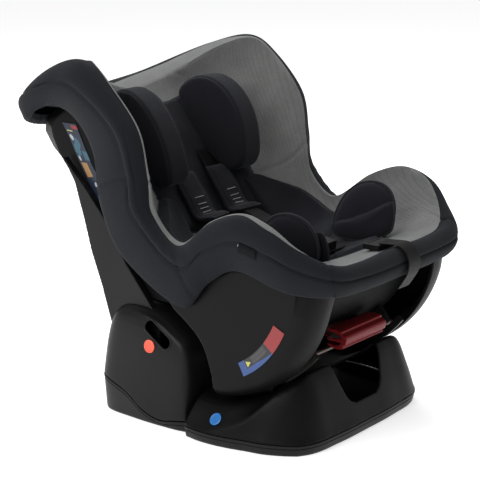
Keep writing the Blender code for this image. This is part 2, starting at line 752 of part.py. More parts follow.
REAR_NET = [
    [(0, .2140, .020), (.06, .2140, .020), (.098, .2140, .020), (.112, .2140, .020), (.140, .2140, .020),
     (.165, .2140, .020), (.182, .2150, .020), (.191, .2160, .0189)],
    [(0, .216, .055), (.06, .216, .055), (.098, .216, .057), (.113, .217, .080), (.143, .217, .084),
     (.170, .218, .080), (.185, .222, .060), (.193, .226, .0175)],
    [(0, .221, .080), (.06, .221, .080), (.098, .221, .082), (.115, .223, .124), (.146, .224, .133),
     (.171, .226, .128), (.183, .232, .108), (.195, .240, .0155)],
    [(0, .245, .086), (.06, .245, .086), (.100, .245, .090), (.117, .245, .144), (.147, .246, .153),
     (.171, .248, .148), (.183, .256, .128), (.196, .268, .0115)],
    [(0, .285, .088), (.06, .285, .088), (.102, .285, .094), (.118, .285, .162), (.147, .286, .174),
     (.170, .288, .169), (.183, .294, .148), (.196, .302, .0210)],
    [(0, .330, .092), (.06, .330, .092), (.102, .330, .098), (.118, .330, .168), (.147, .330, .181),
     (.169, .331, .175), (.182, .334, .153), (.194, .338, .0425)],
    [(0, .368, .096), (.06, .368, .096), (.100, .368, .102), (.116, .368, .164), (.144, .368, .178),
     (.166, .368, .170), (.179, .370, .148), (.191, .372, .0540)],
    [(0, .394, .090), (.06, .394, .090), (.098, .394, .095), (.113, .394, .136), (.138, .394, .150),
     (.158, .393, .142), (.172, .391, .120), (.184, .391, .0590)],
    [(0, .408, .076), (.06, .408, .076), (.098, .408, .078), (.112, .408, .092), (.131, .407, .098),
     (.150, .405, .093), (.162, .403, .084), (.170, .402, .0600)],
    [(0, .414, .0610), (.06, .414, .0610), (.096, .414, .0610), (.109, .4135, .0610), (.124, .413, .0610),
     (.139, .412, .0610), (.149, .410, .0610), (.156, .408, .0610)],
]


def pan_half_outline():
    """Pan's edge as (x, depth, top height), just under the two housings' lower edges."""
    front = net_surface(FRONT_NET, 2, 2)
    rear = net_surface(REAR_NET, 2, 2)
    middle = len(front[0]) // 2
    half = front[0][middle:] + [row[-1] for row in front[1:]]
    half += [Vector((.1935, .2085, BAND_HEIGHT))]
    half += [row[-1] for row in rear[1:]]
    half += rear[-1][len(rear[0]) // 2:-1][::-1]
    return [Vector((p.x, p.y, p.z - 2 * CLEAR)) for p in half]


def make_pan(mats):
    """Shallow tray that closes the base from below; its rim rises in a wave towards the rear."""
    half = pan_half_outline()
    loop = half + [Vector((-p.x, p.y, p.z)) for p in half[-2:0:-1]]
    centre = Vector((0, .205))
    foot_scale = 0.985          # the foot is a little smaller than the rim
    bm = bmesh.new()
    rings = [[], [], [], []]
    for i, place in enumerate(loop):
        spot = Vector((place.x, place.y))
        run = (loop[(i + 1) % len(loop)] - loop[i - 1]).to_2d().normalized()
        square = Vector((-run.y, run.x))
        if square.dot(centre - spot) < 0:
            square = -square
        inside = spot + square * PAN_WALL
        foot = centre + (spot - centre) * foot_scale
        rings[0].append(bm.verts.new(at(foot.x, foot.y, 0)))
        rings[1].append(bm.verts.new(at(*place)))
        rings[2].append(bm.verts.new(at(inside.x, inside.y, place.z - .0012)))
        rings[3].append(bm.verts.new(at(inside.x, inside.y, PAN_WALL)))
    count = len(loop)
    for low, high in zip(rings, rings[1:]):
        for i in range(count):
            k = (i + 1) % count
            bm.faces.new((low[i], low[k], high[k], high[i]))
    bm.faces.new(rings[3])
    bm.faces.new(rings[0][::-1])
    bmesh.ops.triangulate(bm, faces=[f for f in bm.faces if len(f.verts) > 4])
    return add_object("base_pan", bm, mats["plastic"])


def rounded_cut(name, centre, length, width, angle, x_low, x_high, mats):
    """Slot tool: a stadium outline in the (depth, height) plane, extruded along X."""
    turn = math.radians(angle)
    along = Vector((math.cos(turn), math.sin(turn)))
    outline = []
    reach = (length - width) / 2
    for end, start in ((1, -90), (-1, 90)):
        for degrees in range(start, start + 181, 30):
            spread = turn + math.radians(degrees)
            outline.append((centre[0] + along.x * reach * end + math.cos(spread) * width / 2,
                            centre[1] + along.y * reach * end + math.sin(spread) * width / 2))
    return prism(name, outline, x_low, x_high, mats["plastic"])


def make_front_housing(mats):
    housing = net_shell("base_front_housing", FRONT_NET, BASE_WALL, mats["plastic"])
    # U-shaped notch in the front, (x, height)
    profile = [(-.069, .130), (-.060, .098), (-.048, .066), (-.040, .056), (-.028, .050),
               (.028, .050), (.040, .056), (.048, .066), (.060, .098), (.069, .130)]
    bm = bmesh.new()
    near = [bm.verts.new(at(x, -.030, z)) for x, z in profile]
    far = [bm.verts.new(at(x, .075, z)) for x, z in profile]
    bm.faces.new(near)
    bm.faces.new(far[::-1])
    for i in range(len(profile)):
        k = (i + 1) % len(profile)
        bm.faces.new((near[k], near[i], far[i], far[k]))
    notch = add_object("notch_tool", bm, mats["plastic"])
    shape_with(housing, notch)
    return housing


def make_rear_housing(mats):
    housing = net_shell("base_rear_housing", REAR_NET, BASE_WALL, mats["plastic"])
    for label, side in (("left", 1), ("right", -1)):
        low, high = sorted((side * .090, side * .21))
        slot = rounded_cut("belt_slot_tool_" + label, (.279, .1450), .056, .018, 33, low, high, mats)
        shape_with(housing, slot)
        low, high = sorted((side * (.150 - CLEAR), side * (.162 + CLEAR)))
        seat_in = prism("cheek_pocket_tool_" + label, cheek_outline(CLEAR), low, high, mats["plastic"])
        shape_with(housing, seat_in)
    pocket = prism("panel_pocket_tool", panel_outline(CLEAR), -.1505, .1505, mats["plastic"])
    shape_with(housing, pocket)
    return housing


SUPPORT_REAR = [(.385, .110), (.413, .196), (.434, .249), (.449, .301), (.468, .360)]


def cheek_outline(grow):
    front = [(.494 + grow, .400), (.440 - grow, .347), (.398 - grow, .300), (.360 - grow, .241),
             (.325 - grow, .200), (.292 - grow, .160), (.292 - grow, .110 - grow)]
    return front + [(d + grow, z - grow * (i == 0)) for i, (d, z) in enumerate(SUPPORT_REAR)]


def panel_outline(grow):
    wall = 0.006
    rear = SUPPORT_REAR[:4]
    lower = [(d + grow, z - grow * (i == 0)) for i, (d, z) in enumerate(rear)]
    upper = [(d - wall - grow, z - grow * (i == 0)) for i, (d, z) in enumerate(rear)]
    return lower + upper[::-1]


def make_back_support(mats):
    """Two side cheeks joined by a leaning panel, which backs the reclined seat."""
    support = prism("back_support", panel_outline(0), -.1505, .1505, mats["plastic"])
    for label, side in (("left", 1), ("right", -1)):
        low, high = sorted((side * .150, side * .162))
        cheek = prism("cheek_tool_" + label, cheek_outline(0), low, high, mats["plastic"])
        shape_with(support, cheek, "UNION")
    window = box("support_window_tool", (-.085, .380, .205), (.085, .500, .262), mats["plastic"])
    shape_with(support, window)
    return support


def make_recline_track(name, x, mats):
    """Toothed arc plate in the cradle; the lock rod stands just clear of its notches."""
    half = 0.003
    outline = []
    inner_radius = 0.1972
    for degrees in range(218, 259, 4):
        turn = math.radians(degrees)
        outline.append((PIVOT_DEPTH + inner_radius * math.cos(turn),
                        PIVOT_HEIGHT + inner_radius * math.sin(turn)))
    outer_radius = CRADLE_RADIUS - 0.0040
    for degrees in range(258, 217, -4):
        turn = math.radians(degrees)
        outline.append((PIVOT_DEPTH + outer_radius * math.cos(turn),
                        PIVOT_HEIGHT + outer_radius * math.sin(turn)))
    track = prism(name, outline, x - half, x + half, mats["steel"])
    for index in range(4):
        angle = ROD_ANGLE + 5 * index
        notch = rod(name + "_notch_tool%d" % index, on_arc(x - .01, ROD_ARC + .005, angle),
                    on_arc(x + .01, ROD_ARC + .005, angle), ROD_RADIUS + .0006, mats["steel"], None, 12)
        shape_with(track, notch)
    return track


def make_base_trim(mats):
    """Belt path markers lying on the base's sides."""
    # (name, centre on the surface, outward normal, radius)
    discs = [("belt_marker_orange_", (.1855, .292, .1248), (.993, .0, .115), .0105, "orange"),
             ("belt_marker_blue_", (.1924, .1546, .0381), (.742, .086, .665), .0100, "blue")]
    for label, side in (("left", 1), ("right", -1)):
        for name, (x, depth, height), normal, radius, colour in discs:
            out = Vector((normal[0] * side, normal[1], normal[2])).normalized()
            foot = at(x * side, depth, height)
            rod(name + label, foot + out * .0010, foot + out * .0020, radius, mats[colour], None, 20)


def make_labels(mats, holder):
    angles = steps(209, 245, 12)
    for label, side in (("left", 1), ("right", -1)):
        near = SKIRT_FACE_X + CLEAR
        far = near + LABEL_THICK
        outer = [[on_arc(side * far, r, a) for r in (.1475, .1695)] for a in angles]
        inner = [[on_arc(side * near, r, a) for r in (.1475, .1695)] for a in angles]
        grid_solid("recline_indicator_" + label, outer, inner, mats["white"], holder)
    outline = [(.505, .450), (.500, .415), (.455, .330), (.425, .330), (.425, .360), (.475, .450)]
    prism("information_label", outline, -.1480, -.1474, mats["white"], holder)


def make_materials():
    return {
        "plastic": material("black moulded plastic", (.018, .018, .019), .5),
        "rim fabric": material("dark rim fabric", (.040, .041, .048), .85),
        "inner fabric": material("grey quilted fabric", (.115, .117, .115), .9),
        "insert fabric": material("black insert fabric", (.012, .012, .016), .85),
        "webbing": material("harness webbing", (.015, .015, .017), .6),
        "foam": material("liner foam", (.75, .75, .73), .9),
        "steel": material("plated steel", (.55, .55, .55), .3, 1.0),
        "red": material("red plastic", (.30, .010, .012), .35),
        "orange": material("orange marker", (.85, .09, .04), .4),
        "blue": material("blue marker", (.02, .16, .50), .4),
        "white": material("label film", (.80, .80, .78), .4),
    }


def main():
    clear_scene()
    mats = make_materials()
    make_pan(mats)
    make_front_housing(mats)
    make_rear_housing(mats)
    make_back_support(mats)
    make_base_trim(mats)
    for label, side in (("left", 1), ("right", -1)):
        make_recline_track("recline_track_" + label, side * TRACK_X, mats)
    seat = add_axis("recline_axis", pivot_point())
    make_seat_covers(mats, seat)
    make_back_housing(mats, seat)
    make_skirt("side_skirt_left", 1, mats, seat)
    make_skirt("side_skirt_right", -1, mats, seat)
    make_underside(mats, seat)
    make_insert(mats, seat)
    make_harness(mats, seat)
    button_axis = add_axis("buckle_button_axis", buckle_frame().translation)
    make_buckle(mats, seat, button_axis)
    lever_axis = add_axis("adjuster_lever_axis", at(.006, -.0121, .2982))
    make_adjuster(mats, seat, lever_axis)
    make_labels(mats, seat)
    handle_axis = add_axis("recline_handle_axis", at(0, .030, .1545))
    make_handle(mats, handle_axis)
    for x, label in ((.104, "left"), (-.104, "right")):
        make_rod_guide("rod_guide_" + label, x, mats, seat)
    rod_axis = add_axis("lock_rod_axis", on_arc(0, ROD_ARC, ROD_ANGLE))
    rod("lock_rod", on_arc(-.132, ROD_ARC, ROD_ANGLE), on_arc(.132, ROD_ARC, ROD_ANGLE), ROD_RADIUS,
        mats["steel"], rod_axis)
    make_spring("handle_spring", at(0, .0895, .1528), .0050, .016, 5, .0006, mats["steel"], seat)


main()
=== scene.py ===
"""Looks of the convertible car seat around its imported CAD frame. Metres, +Z up, the seat faces -Y."""

import json
import math

import bmesh
import bpy
import numpy as np
from mathutils import Matrix, Vector, noise
from mathutils.bvhtree import BVHTree


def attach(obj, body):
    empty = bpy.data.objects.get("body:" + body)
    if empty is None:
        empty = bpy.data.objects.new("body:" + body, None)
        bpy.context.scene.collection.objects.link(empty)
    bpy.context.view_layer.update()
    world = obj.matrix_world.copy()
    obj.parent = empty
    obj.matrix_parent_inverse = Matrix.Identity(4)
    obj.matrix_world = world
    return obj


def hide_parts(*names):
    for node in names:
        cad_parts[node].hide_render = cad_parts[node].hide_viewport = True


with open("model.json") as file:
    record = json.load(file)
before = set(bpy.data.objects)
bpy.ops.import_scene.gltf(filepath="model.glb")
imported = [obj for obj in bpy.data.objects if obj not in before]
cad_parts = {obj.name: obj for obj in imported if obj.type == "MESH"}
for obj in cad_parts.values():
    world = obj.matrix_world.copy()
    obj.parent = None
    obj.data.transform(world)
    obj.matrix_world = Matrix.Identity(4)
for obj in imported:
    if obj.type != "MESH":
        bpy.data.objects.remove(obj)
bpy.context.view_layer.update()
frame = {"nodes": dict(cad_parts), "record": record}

# ---------------------------------------------------------------- shared dimensions, metres
FRONT_EDGE_Y = -0.2872      # y where depth is 0, the base's front edge
PIVOT_DEPTH = 0.183         # recline axis
PIVOT_HEIGHT = 0.273
SKIRT_RADIUS = 0.207
SKIRT_FACE = 0.194          # half width over the side plates

# Rim of the seat, front centre to top centre, child's left half: (x, depth, height).
EDGE = [(0, -.022, .292), (.100, -.022, .291), (.158, -.017, .298), (.194, .006, .328),
        (.212, .042, .360), (.214, .088, .372), (.210, .145, .352), (.200, .212, .306),
        (.201, .260, .342), (.203, .273, .400), (.207, .289, .472), (.208, .346, .536),
        (.198, .387, .5620), (.154, .425, .5475), (.078, .464, .508), (0, .480, .486)]
CROWN = [(0, -.044, .297), (.100, -.043, .296), (.162, -.037, .303), (.200, -.003, .326),
         (.222, .034, .350), (.228, .088, .363), (.226, .146, .342), (.218, .210, .300),
         (.220, .270, .346), (.223, .285, .402), (.227, .300, .472), (.227, .358, .534),
         (.217, .406, .5615), (.186, .474, .546), (.096, .524, .511), (0, .544, .491)]
SEAM = [(0, -.058, .280), (.100, -.056, .279), (.168, -.047, .284), (.208, -.006, .300),
        (.226, .032, .319), (.231, .092, .333), (.229, .148, .309), (.224, .203, .276),
        (.227, .284, .340), (.229, .297, .405), (.233, .317, .466), (.233, .378, .516),
        (.225, .438, .531), (.193, .546, .499), (.098, .620, .463), (0, .640, .453)]
HEM = [(0, -.048, .256), (.100, -.046, .256), (.160, -.037, .258), (.198, .000, .263),
       (.209, .034, .270), (.209, .104, .284), (.207, .155, .258), (.203, .216, .208),
       (.204, .330, .268), (.205, .373, .345), (.206, .384, .425), (.205, .423, .474),
       (.200, .480, .488), (.180, .558, .456), (.090, .612, .429), (0, .630, .423)]
SPINE = [(0, .018, .284), (0, .021, .283), (0, .026, .281), (0, .036, .276),
         (0, .066, .260), (0, .110, .243), (0, .160, .230), (0, .215, .226),
         (0, .270, .246), (0, .312, .290), (0, .360, .350), (0, .405, .410),
         (0, .434, .444), (0, .449, .461), (0, .457, .468), (0, .461, .470)]
LAST = len(EDGE) - 1
TINY = 1e-12                # keeps divisions off zero
SIDES = (("left", 1), ("right", -1))
BOWL_SQUARENESS = 0.95
# How far the light cover reaches from the edge line towards the crown, per station, right then left side.
LIGHT_REACH = {-1: [.02, .60, .60, .86, .72, .34, .36, .56, .36, .13, .11, .11, .10, .40, .78, .85],
               1: [.02, .02, .04, .06, .10, .20, .34, .40, .22, .16, .16, .22, .42, .80, .88, .85]}


def at(x, depth, height):
    return Vector((x, depth + FRONT_EDGE_Y, height))


def spline(points, position):
    """Catmull-Rom value at a position counted in control points."""
    last = len(points) - 1
    span = max(0, min(int(position), last - 1))
    t = position - span
    p1 = Vector(points[span])
    p2 = Vector(points[span + 1])
    p0 = Vector(points[span - 1]) if span > 0 else p1 * 2 - p2
    p3 = Vector(points[span + 2]) if span + 2 <= last else p2 * 2 - p1
    return 0.5 * (2 * p1 + (p2 - p0) * t + (2 * p0 - 5 * p1 + 4 * p2 - p3) * t * t
                  + (3 * p1 - p0 - 3 * p2 + p3) * t * t * t)


def smooth_path(points, steps_per_span):
    count = (len(points) - 1) * steps_per_span
    return [spline(points, i / steps_per_span) for i in range(count + 1)]


def smooth_pairs(pairs, steps_per_span):
    """Smooth curve through pairs, such as (depth, height) or (radius, x)."""
    return [(p.x, p.y) for p in smooth_path([(a, b, 0) for a, b in pairs], steps_per_span)]


def steps(low, high, count):
    return [low + (high - low) * i / count for i in range(count + 1)]


def span(side, near, far):
    """Both ends, in rising order, of a stretch of X on one side of the middle."""
    return sorted((side * near, side * far))


# ---------------------------------------------------------------- materials
def nodes_of(name):
    mat = bpy.data.materials.new(name)
    mat.use_nodes = True
    tree = mat.node_tree
    shader = tree.nodes["Principled BSDF"]
    return mat, tree, shader


def add_node(tree, kind, **values):
    node = tree.nodes.new(kind)
    for key, value in values.items():
        if key in node.inputs:
            node.inputs[key].default_value = value
        else:
            setattr(node, key, value)
    return node


def object_coords(tree, scale=(1, 1, 1), turn=(0, 0, 0)):
    coords = tree.nodes.new("ShaderNodeTexCoord")
    mapping = tree.nodes.new("ShaderNodeMapping")
    mapping.inputs["Scale"].default_value = scale
    mapping.inputs["Rotation"].default_value = turn
    tree.links.new(coords.outputs["Object"], mapping.inputs["Vector"])
    return mapping.outputs["Vector"]


def ramp(tree, source, stops):
    node = tree.nodes.new("ShaderNodeValToRGB")
    while len(node.color_ramp.elements) < len(stops):
        node.color_ramp.elements.new(0.5)
    for element, (place, colour) in zip(node.color_ramp.elements, stops):
        element.position = place
        element.color = (*colour, 1) if len(colour) == 3 else colour
    tree.links.new(source, node.inputs["Fac"])
    return node.outputs["Color"]


def combine(tree, operation, a, b):
    node = tree.nodes.new("ShaderNodeMath")
    node.operation = operation
    for socket, value in ((node.inputs[0], a), (node.inputs[1], b)):
        if isinstance(value, (int, float)):
            socket.default_value = value
        else:
            tree.links.new(value, socket)
    return node.outputs[0]


def bump(tree, shader, height, strength, distance):
    node = add_node(tree, "ShaderNodeBump", Strength=strength, Distance=distance)
    tree.links.new(height, node.inputs["Height"])
    tree.links.new(node.outputs["Normal"], shader.inputs["Normal"])


def grey(value):
    return (value, value, value)


def shade(colour, factor):
    return tuple(min(1.0, c * factor) for c in colour)


def vary_gloss(tree, shader, texture, low, high):
    """Roughness between two values, following a texture."""
    rough_map = ramp(tree, texture.outputs["Fac"], [(0.3, grey(low)), (0.7, grey(high))])
    tree.links.new(rough_map, shader.inputs["Roughness"])


def wave_scale(pitch):
    """Scale of a wave texture whose bands stand a pitch apart."""
    return 2 * math.pi / pitch / 20


def multiplied(tree, tone, painted_shade, shader):
    """Base colour from one colour darkened by another, such as painted shade."""
    mix = tree.nodes.new("ShaderNodeMix")
    mix.data_type = "RGBA"
    mix.blend_type = "MULTIPLY"
    mix.inputs["Factor"].default_value = 1.0
    tree.links.new(tone, mix.inputs["A"])
    tree.links.new(painted_shade, mix.inputs["B"])
    tree.links.new(mix.outputs["Result"], shader.inputs["Base Color"])


def fabric(name, colour, heather=0.18, weave=0.0011, rough=0.9, sheen=0.25, quilt=0.0):
    """Woven cloth: crossed threads at the weave pitch, mottled yarn, soft sheen, optional quilting lines with
    painted shade in their grooves.
    """
    mat, tree, shader = nodes_of(name)
    coords = object_coords(tree)
    waves = []
    for degrees in (45, -45):
        vector = object_coords(tree, turn=(0, 0, math.radians(degrees)))
        wave = add_node(tree, "ShaderNodeTexWave", Scale=wave_scale(weave), Distortion=1.5, Detail=1.0)
        wave.inputs["Detail Scale"].default_value = 3.0
        wave.bands_direction = "DIAGONAL"
        tree.links.new(vector, wave.inputs["Vector"])
        waves.append(wave.outputs["Fac"])
    threads = combine(tree, "MULTIPLY", waves[0], waves[1])
    yarn = add_node(tree, "ShaderNodeTexNoise", Scale=620.0, Detail=3.0)
    cloud = add_node(tree, "ShaderNodeTexNoise", Scale=26.0, Detail=4.0)
    for node in (yarn, cloud):
        tree.links.new(coords, node.inputs["Vector"])
    mixed = combine(tree, "ADD", combine(tree, "MULTIPLY", yarn.outputs["Fac"], 0.6),
                    combine(tree, "MULTIPLY", cloud.outputs["Fac"], 0.4))
    low, high = shade(colour, 1 - heather), shade(colour, 1 + heather)
    tone = ramp(tree, mixed, [(0.34, low), (0.66, high)])
    tree.links.new(tone, shader.inputs["Base Color"])
    height = combine(tree, "ADD", threads, combine(tree, "MULTIPLY", yarn.outputs["Fac"], 0.7))
    if quilt > 0:
        vector = object_coords(tree, turn=(math.radians(12), 0, math.radians(18)))
        lines = add_node(tree, "ShaderNodeTexWave", Scale=wave_scale(quilt), Distortion=0.6)
        lines.bands_direction = "X"
        lines.wave_profile = "SIN"
        tree.links.new(vector, lines.inputs["Vector"])
        ridge = combine(tree, "POWER", lines.outputs["Fac"], 0.35)
        height = combine(tree, "ADD", height, combine(tree, "MULTIPLY", ridge, 1.2))
        # painted shade: the colour drops to 91 % in the quilting grooves and rises slightly on the ridges
        multiplied(tree, tone, ramp(tree, ridge, [(0.15, grey(0.91)), (0.75, grey(1.02))]), shader)
    bump(tree, shader, height, 0.55, 0.0005)
    vary_gloss(tree, shader, cloud, rough - 0.06, min(1, rough + 0.06))
    shader.inputs["Specular IOR Level"].default_value = 0.12
    shader.inputs["Sheen Weight"].default_value = sheen
    shader.inputs["Sheen Roughness"].default_value = 0.45
    shader.inputs["Sheen Tint"].default_value = (0.75, 0.78, 0.85, 1)
    return mat


def webbing(name, colour, rib=0.0022):
    """Harness webbing: herringbone ribs along the strap with painted highlights on the ribs and painted shade
    between them, tight and slightly glossy.
    """
    mat, tree, shader = nodes_of(name)
    coords = object_coords(tree)
    wave = add_node(tree, "ShaderNodeTexWave", Scale=wave_scale(rib), Distortion=0.8)
    wave.bands_direction = "X"
    cross = add_node(tree, "ShaderNodeTexWave", Scale=wave_scale(rib * 0.6), Distortion=0.8)
    cross.bands_direction = "DIAGONAL"
    fine = add_node(tree, "ShaderNodeTexNoise", Scale=900.0, Detail=2.0)
    for node in (wave, cross, fine):
        tree.links.new(coords, node.inputs["Vector"])
    height = combine(tree, "ADD", wave.outputs["Fac"], combine(tree, "MULTIPLY", cross.outputs["Fac"], 0.6))
    # painted highlight and shade: the colour follows the rib height, lighter on the ribs and darker in the
    # grooves
    tone = ramp(tree, height, [(0.2, shade(colour, 0.7)), (1.0, shade(colour, 1.4))])
    tree.links.new(tone, shader.inputs["Base Color"])
    bump(tree, shader, combine(tree, "ADD", height, fine.outputs["Fac"]), 0.5, 0.0004)
    shader.inputs["Roughness"].default_value = 0.5
    shader.inputs["Specular IOR Level"].default_value = 0.12
    return mat


def plastic(name, colour, rough=0.45, grain=0.35, coat=0.0, specular=0.5):
    """Moulded plastic: fine spark-eroded grain, slight gloss changes, paler edges as painted highlights."""
    mat, tree, shader = nodes_of(name)
    coords = object_coords(tree)
    fine = add_node(tree, "ShaderNodeTexNoise", Scale=900.0, Detail=3.0, Roughness=0.6)
    cells = add_node(tree, "ShaderNodeTexVoronoi", Scale=1300.0)
    cloud = add_node(tree, "ShaderNodeTexNoise", Scale=14.0, Detail=5.0)
    for node in (fine, cells, cloud):
        tree.links.new(coords, node.inputs["Vector"])
    tone = ramp(tree, cloud.outputs["Fac"], [(0.3, shade(colour, 0.9)), (0.7, shade(colour, 1.12))])
    geometry = tree.nodes.new("ShaderNodeNewGeometry")
    # painted highlight: sharp edges, found by pointiness, turn up to 35 % towards a colour 2.2 times paler
    edge_highlight = ramp(tree, geometry.outputs["Pointiness"], [(0.50, grey(0.0)), (0.60, grey(0.35))])
    mix = tree.nodes.new("ShaderNodeMix")
    mix.data_type = "RGBA"
    mix.inputs["B"].default_value = (*shade(colour, 2.2), 1)
    tree.links.new(edge_highlight, mix.inputs["Factor"])
    tree.links.new(tone, mix.inputs["A"])
    tree.links.new(mix.outputs["Result"], shader.inputs["Base Color"])
    vary_gloss(tree, shader, cloud, rough - 0.05, rough + 0.06)
    height = combine(tree, "ADD", fine.outputs["Fac"], cells.outputs["Distance"])
    bump(tree, shader, height, grain, 0.0003)
    shader.inputs["Specular IOR Level"].default_value = specular
    shader.inputs["Coat Weight"].default_value = coat
    shader.inputs["Coat Roughness"].default_value = 0.2
    return mat


def metal(name, colour, rough):
    mat, tree, shader = nodes_of(name)
    coords = object_coords(tree, (30, 900, 900))
    brushed = add_node(tree, "ShaderNodeTexNoise", Scale=1.0, Detail=4.0)
    tree.links.new(coords, brushed.inputs["Vector"])
    tone = ramp(tree, brushed.outputs["Fac"], [(0.3, shade(colour, 0.85)), (0.7, shade(colour, 1.1))])
    tree.links.new(tone, shader.inputs["Base Color"])
    vary_gloss(tree, shader, brushed, rough - 0.08, rough + 0.08)
    bump(tree, shader, brushed.outputs["Fac"], 0.12, 0.0002)
    shader.inputs["Metallic"].default_value = 1.0
    return mat


MATS = {
    "rim": fabric("rim_fabric", (.0100, .0108, .0132), heather=.16, sheen=.05),
    "inner": fabric("inner_fabric", (.150, .152, .149), heather=.20, sheen=.12, quilt=.0052),
    "insert": fabric("insert_fabric", (.0080, .0080, .0112), heather=.16, sheen=.10, rough=.86),
    "piping": fabric("piping_fabric", (.016, .016, .020), heather=.12, weave=.0009, sheen=.12),
    "tab": fabric("tab_fabric", (.0050, .0052, .0068), heather=.10, weave=.0008, sheen=.02),
    "webbing": webbing("harness_webbing", (.0042, .0042, .0048)),
    "plastic": plastic("black_moulded_plastic", (.0052, .0052, .0054), rough=.40, grain=.26, specular=.20),
    # painted shade: a darker copy of the black plastic, with a little less gloss, for the front housing and
    # the side skirts, whose front and side faces stand in shade
    "satin": plastic("black_plastic_painted_shade_front", (.0030, .0030, .0032), rough=.42, grain=.26, specular=.11),
    # painted shade: a darker, rougher copy of the black plastic for the underside panel and the back box,
    # which stand in shade under the seat and its rim
    "dark": plastic("black_plastic_painted_shade_inside", (.0030, .0030, .0032), rough=.6, grain=.30, specular=.12),
    "red": plastic("red_plastic", (.150, .006, .008), rough=.42, grain=.10, coat=0, specular=.22),
    "orange": plastic("orange_marker", (.80, .085, .035), rough=.35, grain=.05, coat=.2),
    "blue": plastic("blue_marker", (.015, .17, .52), rough=.35, grain=.05, coat=.2),
    "steel": metal("plated_steel", (.50, .50, .50), .34),
    "thread": fabric("stitch_thread", (.30, .30, .31), weave=.0006, sheen=0),
    "film_dark": plastic("dark_film", (.012, .012, .014), rough=.35, grain=.04),
    "film_red": plastic("red_film", (.235, .014, .016), rough=.35, grain=.04),
    "film_blue": plastic("blue_film", (.022, .062, .205), rough=.35, grain=.04),
    "film_yellow": plastic("yellow_film", (.46, .44, .10), rough=.35, grain=.04),
    "film_navy": plastic("navy_film", (.006, .012, .030), rough=.4, grain=.04),
    "film_grey": plastic("grey_film", (.085, .085, .080), rough=.4, grain=.04),
    "film_white": plastic("white_film", (.34, .37, .40), rough=.4, grain=.04),
    "film_teal": plastic("teal_film", (.022, .085, .125), rough=.4, grain=.04),
    "film_tan": plastic("tan_film", (.31, .17, .055), rough=.4, grain=.04),
    "rod": metal("dulled_steel", (.130, .110, .095), .42),
    "blackened": metal("blackened_steel", (.040, .038, .036), .45),
    "foam": fabric("foam", (.60, .60, .58), heather=.08, weave=.002, sheen=0),
}


# ---------------------------------------------------------------- mesh helpers
def put(name, bm, mat, body, nodes=(), smooth_angle=40):
    """Link a bmesh as a piece that rides on a body and stands for CAD nodes."""
    bmesh.ops.recalc_face_normals(bm, faces=bm.faces[:])
    mesh = bpy.data.meshes.new(name)
    bm.to_mesh(mesh)
    bm.free()
    mats = mat if isinstance(mat, (list, tuple)) else [mat]
    for m in mats:
        mesh.materials.append(m)
    mesh.shade_smooth()
    mesh.set_sharp_from_angle(angle=math.radians(smooth_angle))
    obj = bpy.data.objects.new(name, mesh)
    bpy.context.scene.collection.objects.link(obj)
    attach(obj, body)
    if nodes:
        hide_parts(*nodes)
    return obj


def normals_of(grid, wrap):
    """Normals of a grid of points, rows by columns by 3; wrap closes it over the rows."""
    if wrap:
        along = np.roll(grid, -1, 0) - np.roll(grid, 1, 0)
    else:
        along = np.gradient(grid, axis=0)
    across = np.gradient(grid, axis=1)
    out = np.cross(along, across)
    return out / np.maximum(np.linalg.norm(out, axis=2, keepdims=True), TINY)


def vertex_grid(bm, points):
    return [[bm.verts.new(place) for place in row] for row in points]


def bridge(bm, loops, capped=False):
    """Faces between closed loops of vertices, one after another."""
    for low, high in zip(loops, loops[1:]):
        for k in range(len(low)):
            n = (k + 1) % len(low)
            bm.faces.new((low[k], low[n], high[n], high[k]))
    if capped:
        bm.faces.new(loops[0][::-1])
        bm.faces.new(loops[-1])


def shell_from(outer, inner, wrap=False):
    """Closed bmesh between two grids; wrap closes the ring over the rows."""
    bm = bmesh.new()
    rows, cols = len(outer), len(outer[0])
    top = vertex_grid(bm, outer)
    low = vertex_grid(bm, inner)
    for i in range(rows if wrap else rows - 1):
        k = (i + 1) % rows
        for j in range(cols - 1):
            bm.faces.new((top[i][j], top[k][j], top[k][j + 1], top[i][j + 1]))
            bm.faces.new((low[i][j + 1], low[k][j + 1], low[k][j], low[i][j]))
        bm.faces.new((top[k][0], top[i][0], low[i][0], low[k][0]))
        bm.faces.new((top[i][-1], top[k][-1], low[k][-1], low[i][-1]))
    if not wrap:
        for j in range(cols - 1):
            bm.faces.new((top[0][j], top[0][j + 1], low[0][j + 1], low[0][j]))
            bm.faces.new((top[-1][j + 1], top[-1][j], low[-1][j], low[-1][j + 1]))
    return bm


def tube(name, points, radius, mat, body, closed=False, sides=8):
    """Round cord, such as piping, along points in the row frame."""
    bm = bmesh.new()
    loops = []
    count = len(points)
    up = None
    for i, here in enumerate(points):
        before = points[i - 1] if i > 0 or closed else here
        after = points[(i + 1) % count] if i + 1 < count or closed else here
        along = (after - before).normalized()
        if up is None:
            up = along.orthogonal()
        up = (up - along * up.dot(along)).normalized()
        side = along.cross(up)
        loops.append([bm.verts.new(here + (up * math.cos(a) + side * math.sin(a)) * radius)
                      for a in steps(0, 2 * math.pi * (sides - 1) / sides, sides - 1)])
    if closed:
        # the first loop again, turned so that it meets the last one without a twist
        first, end = loops[0], loops[-1]
        shift = min(range(sides), key=lambda m: (end[0].co - first[m].co).length)
        loops.append([first[(k + shift) % sides] for k in range(sides)])
    bridge(bm, loops, capped=not closed)
    return put(name, bm, mat, body, smooth_angle=80)


# ---------------------------------------------------------------- seat surface
PER_STATION = 18
RING = [(i / PER_STATION, 1) for i in range(LAST * PER_STATION + 1)]
RING += [(i / PER_STATION, -1) for i in range(LAST * PER_STATION - 1, 0, -1)]
CHECK_ROW = PER_STATION * 5     # row on the child's left where the outer side of a normal is known


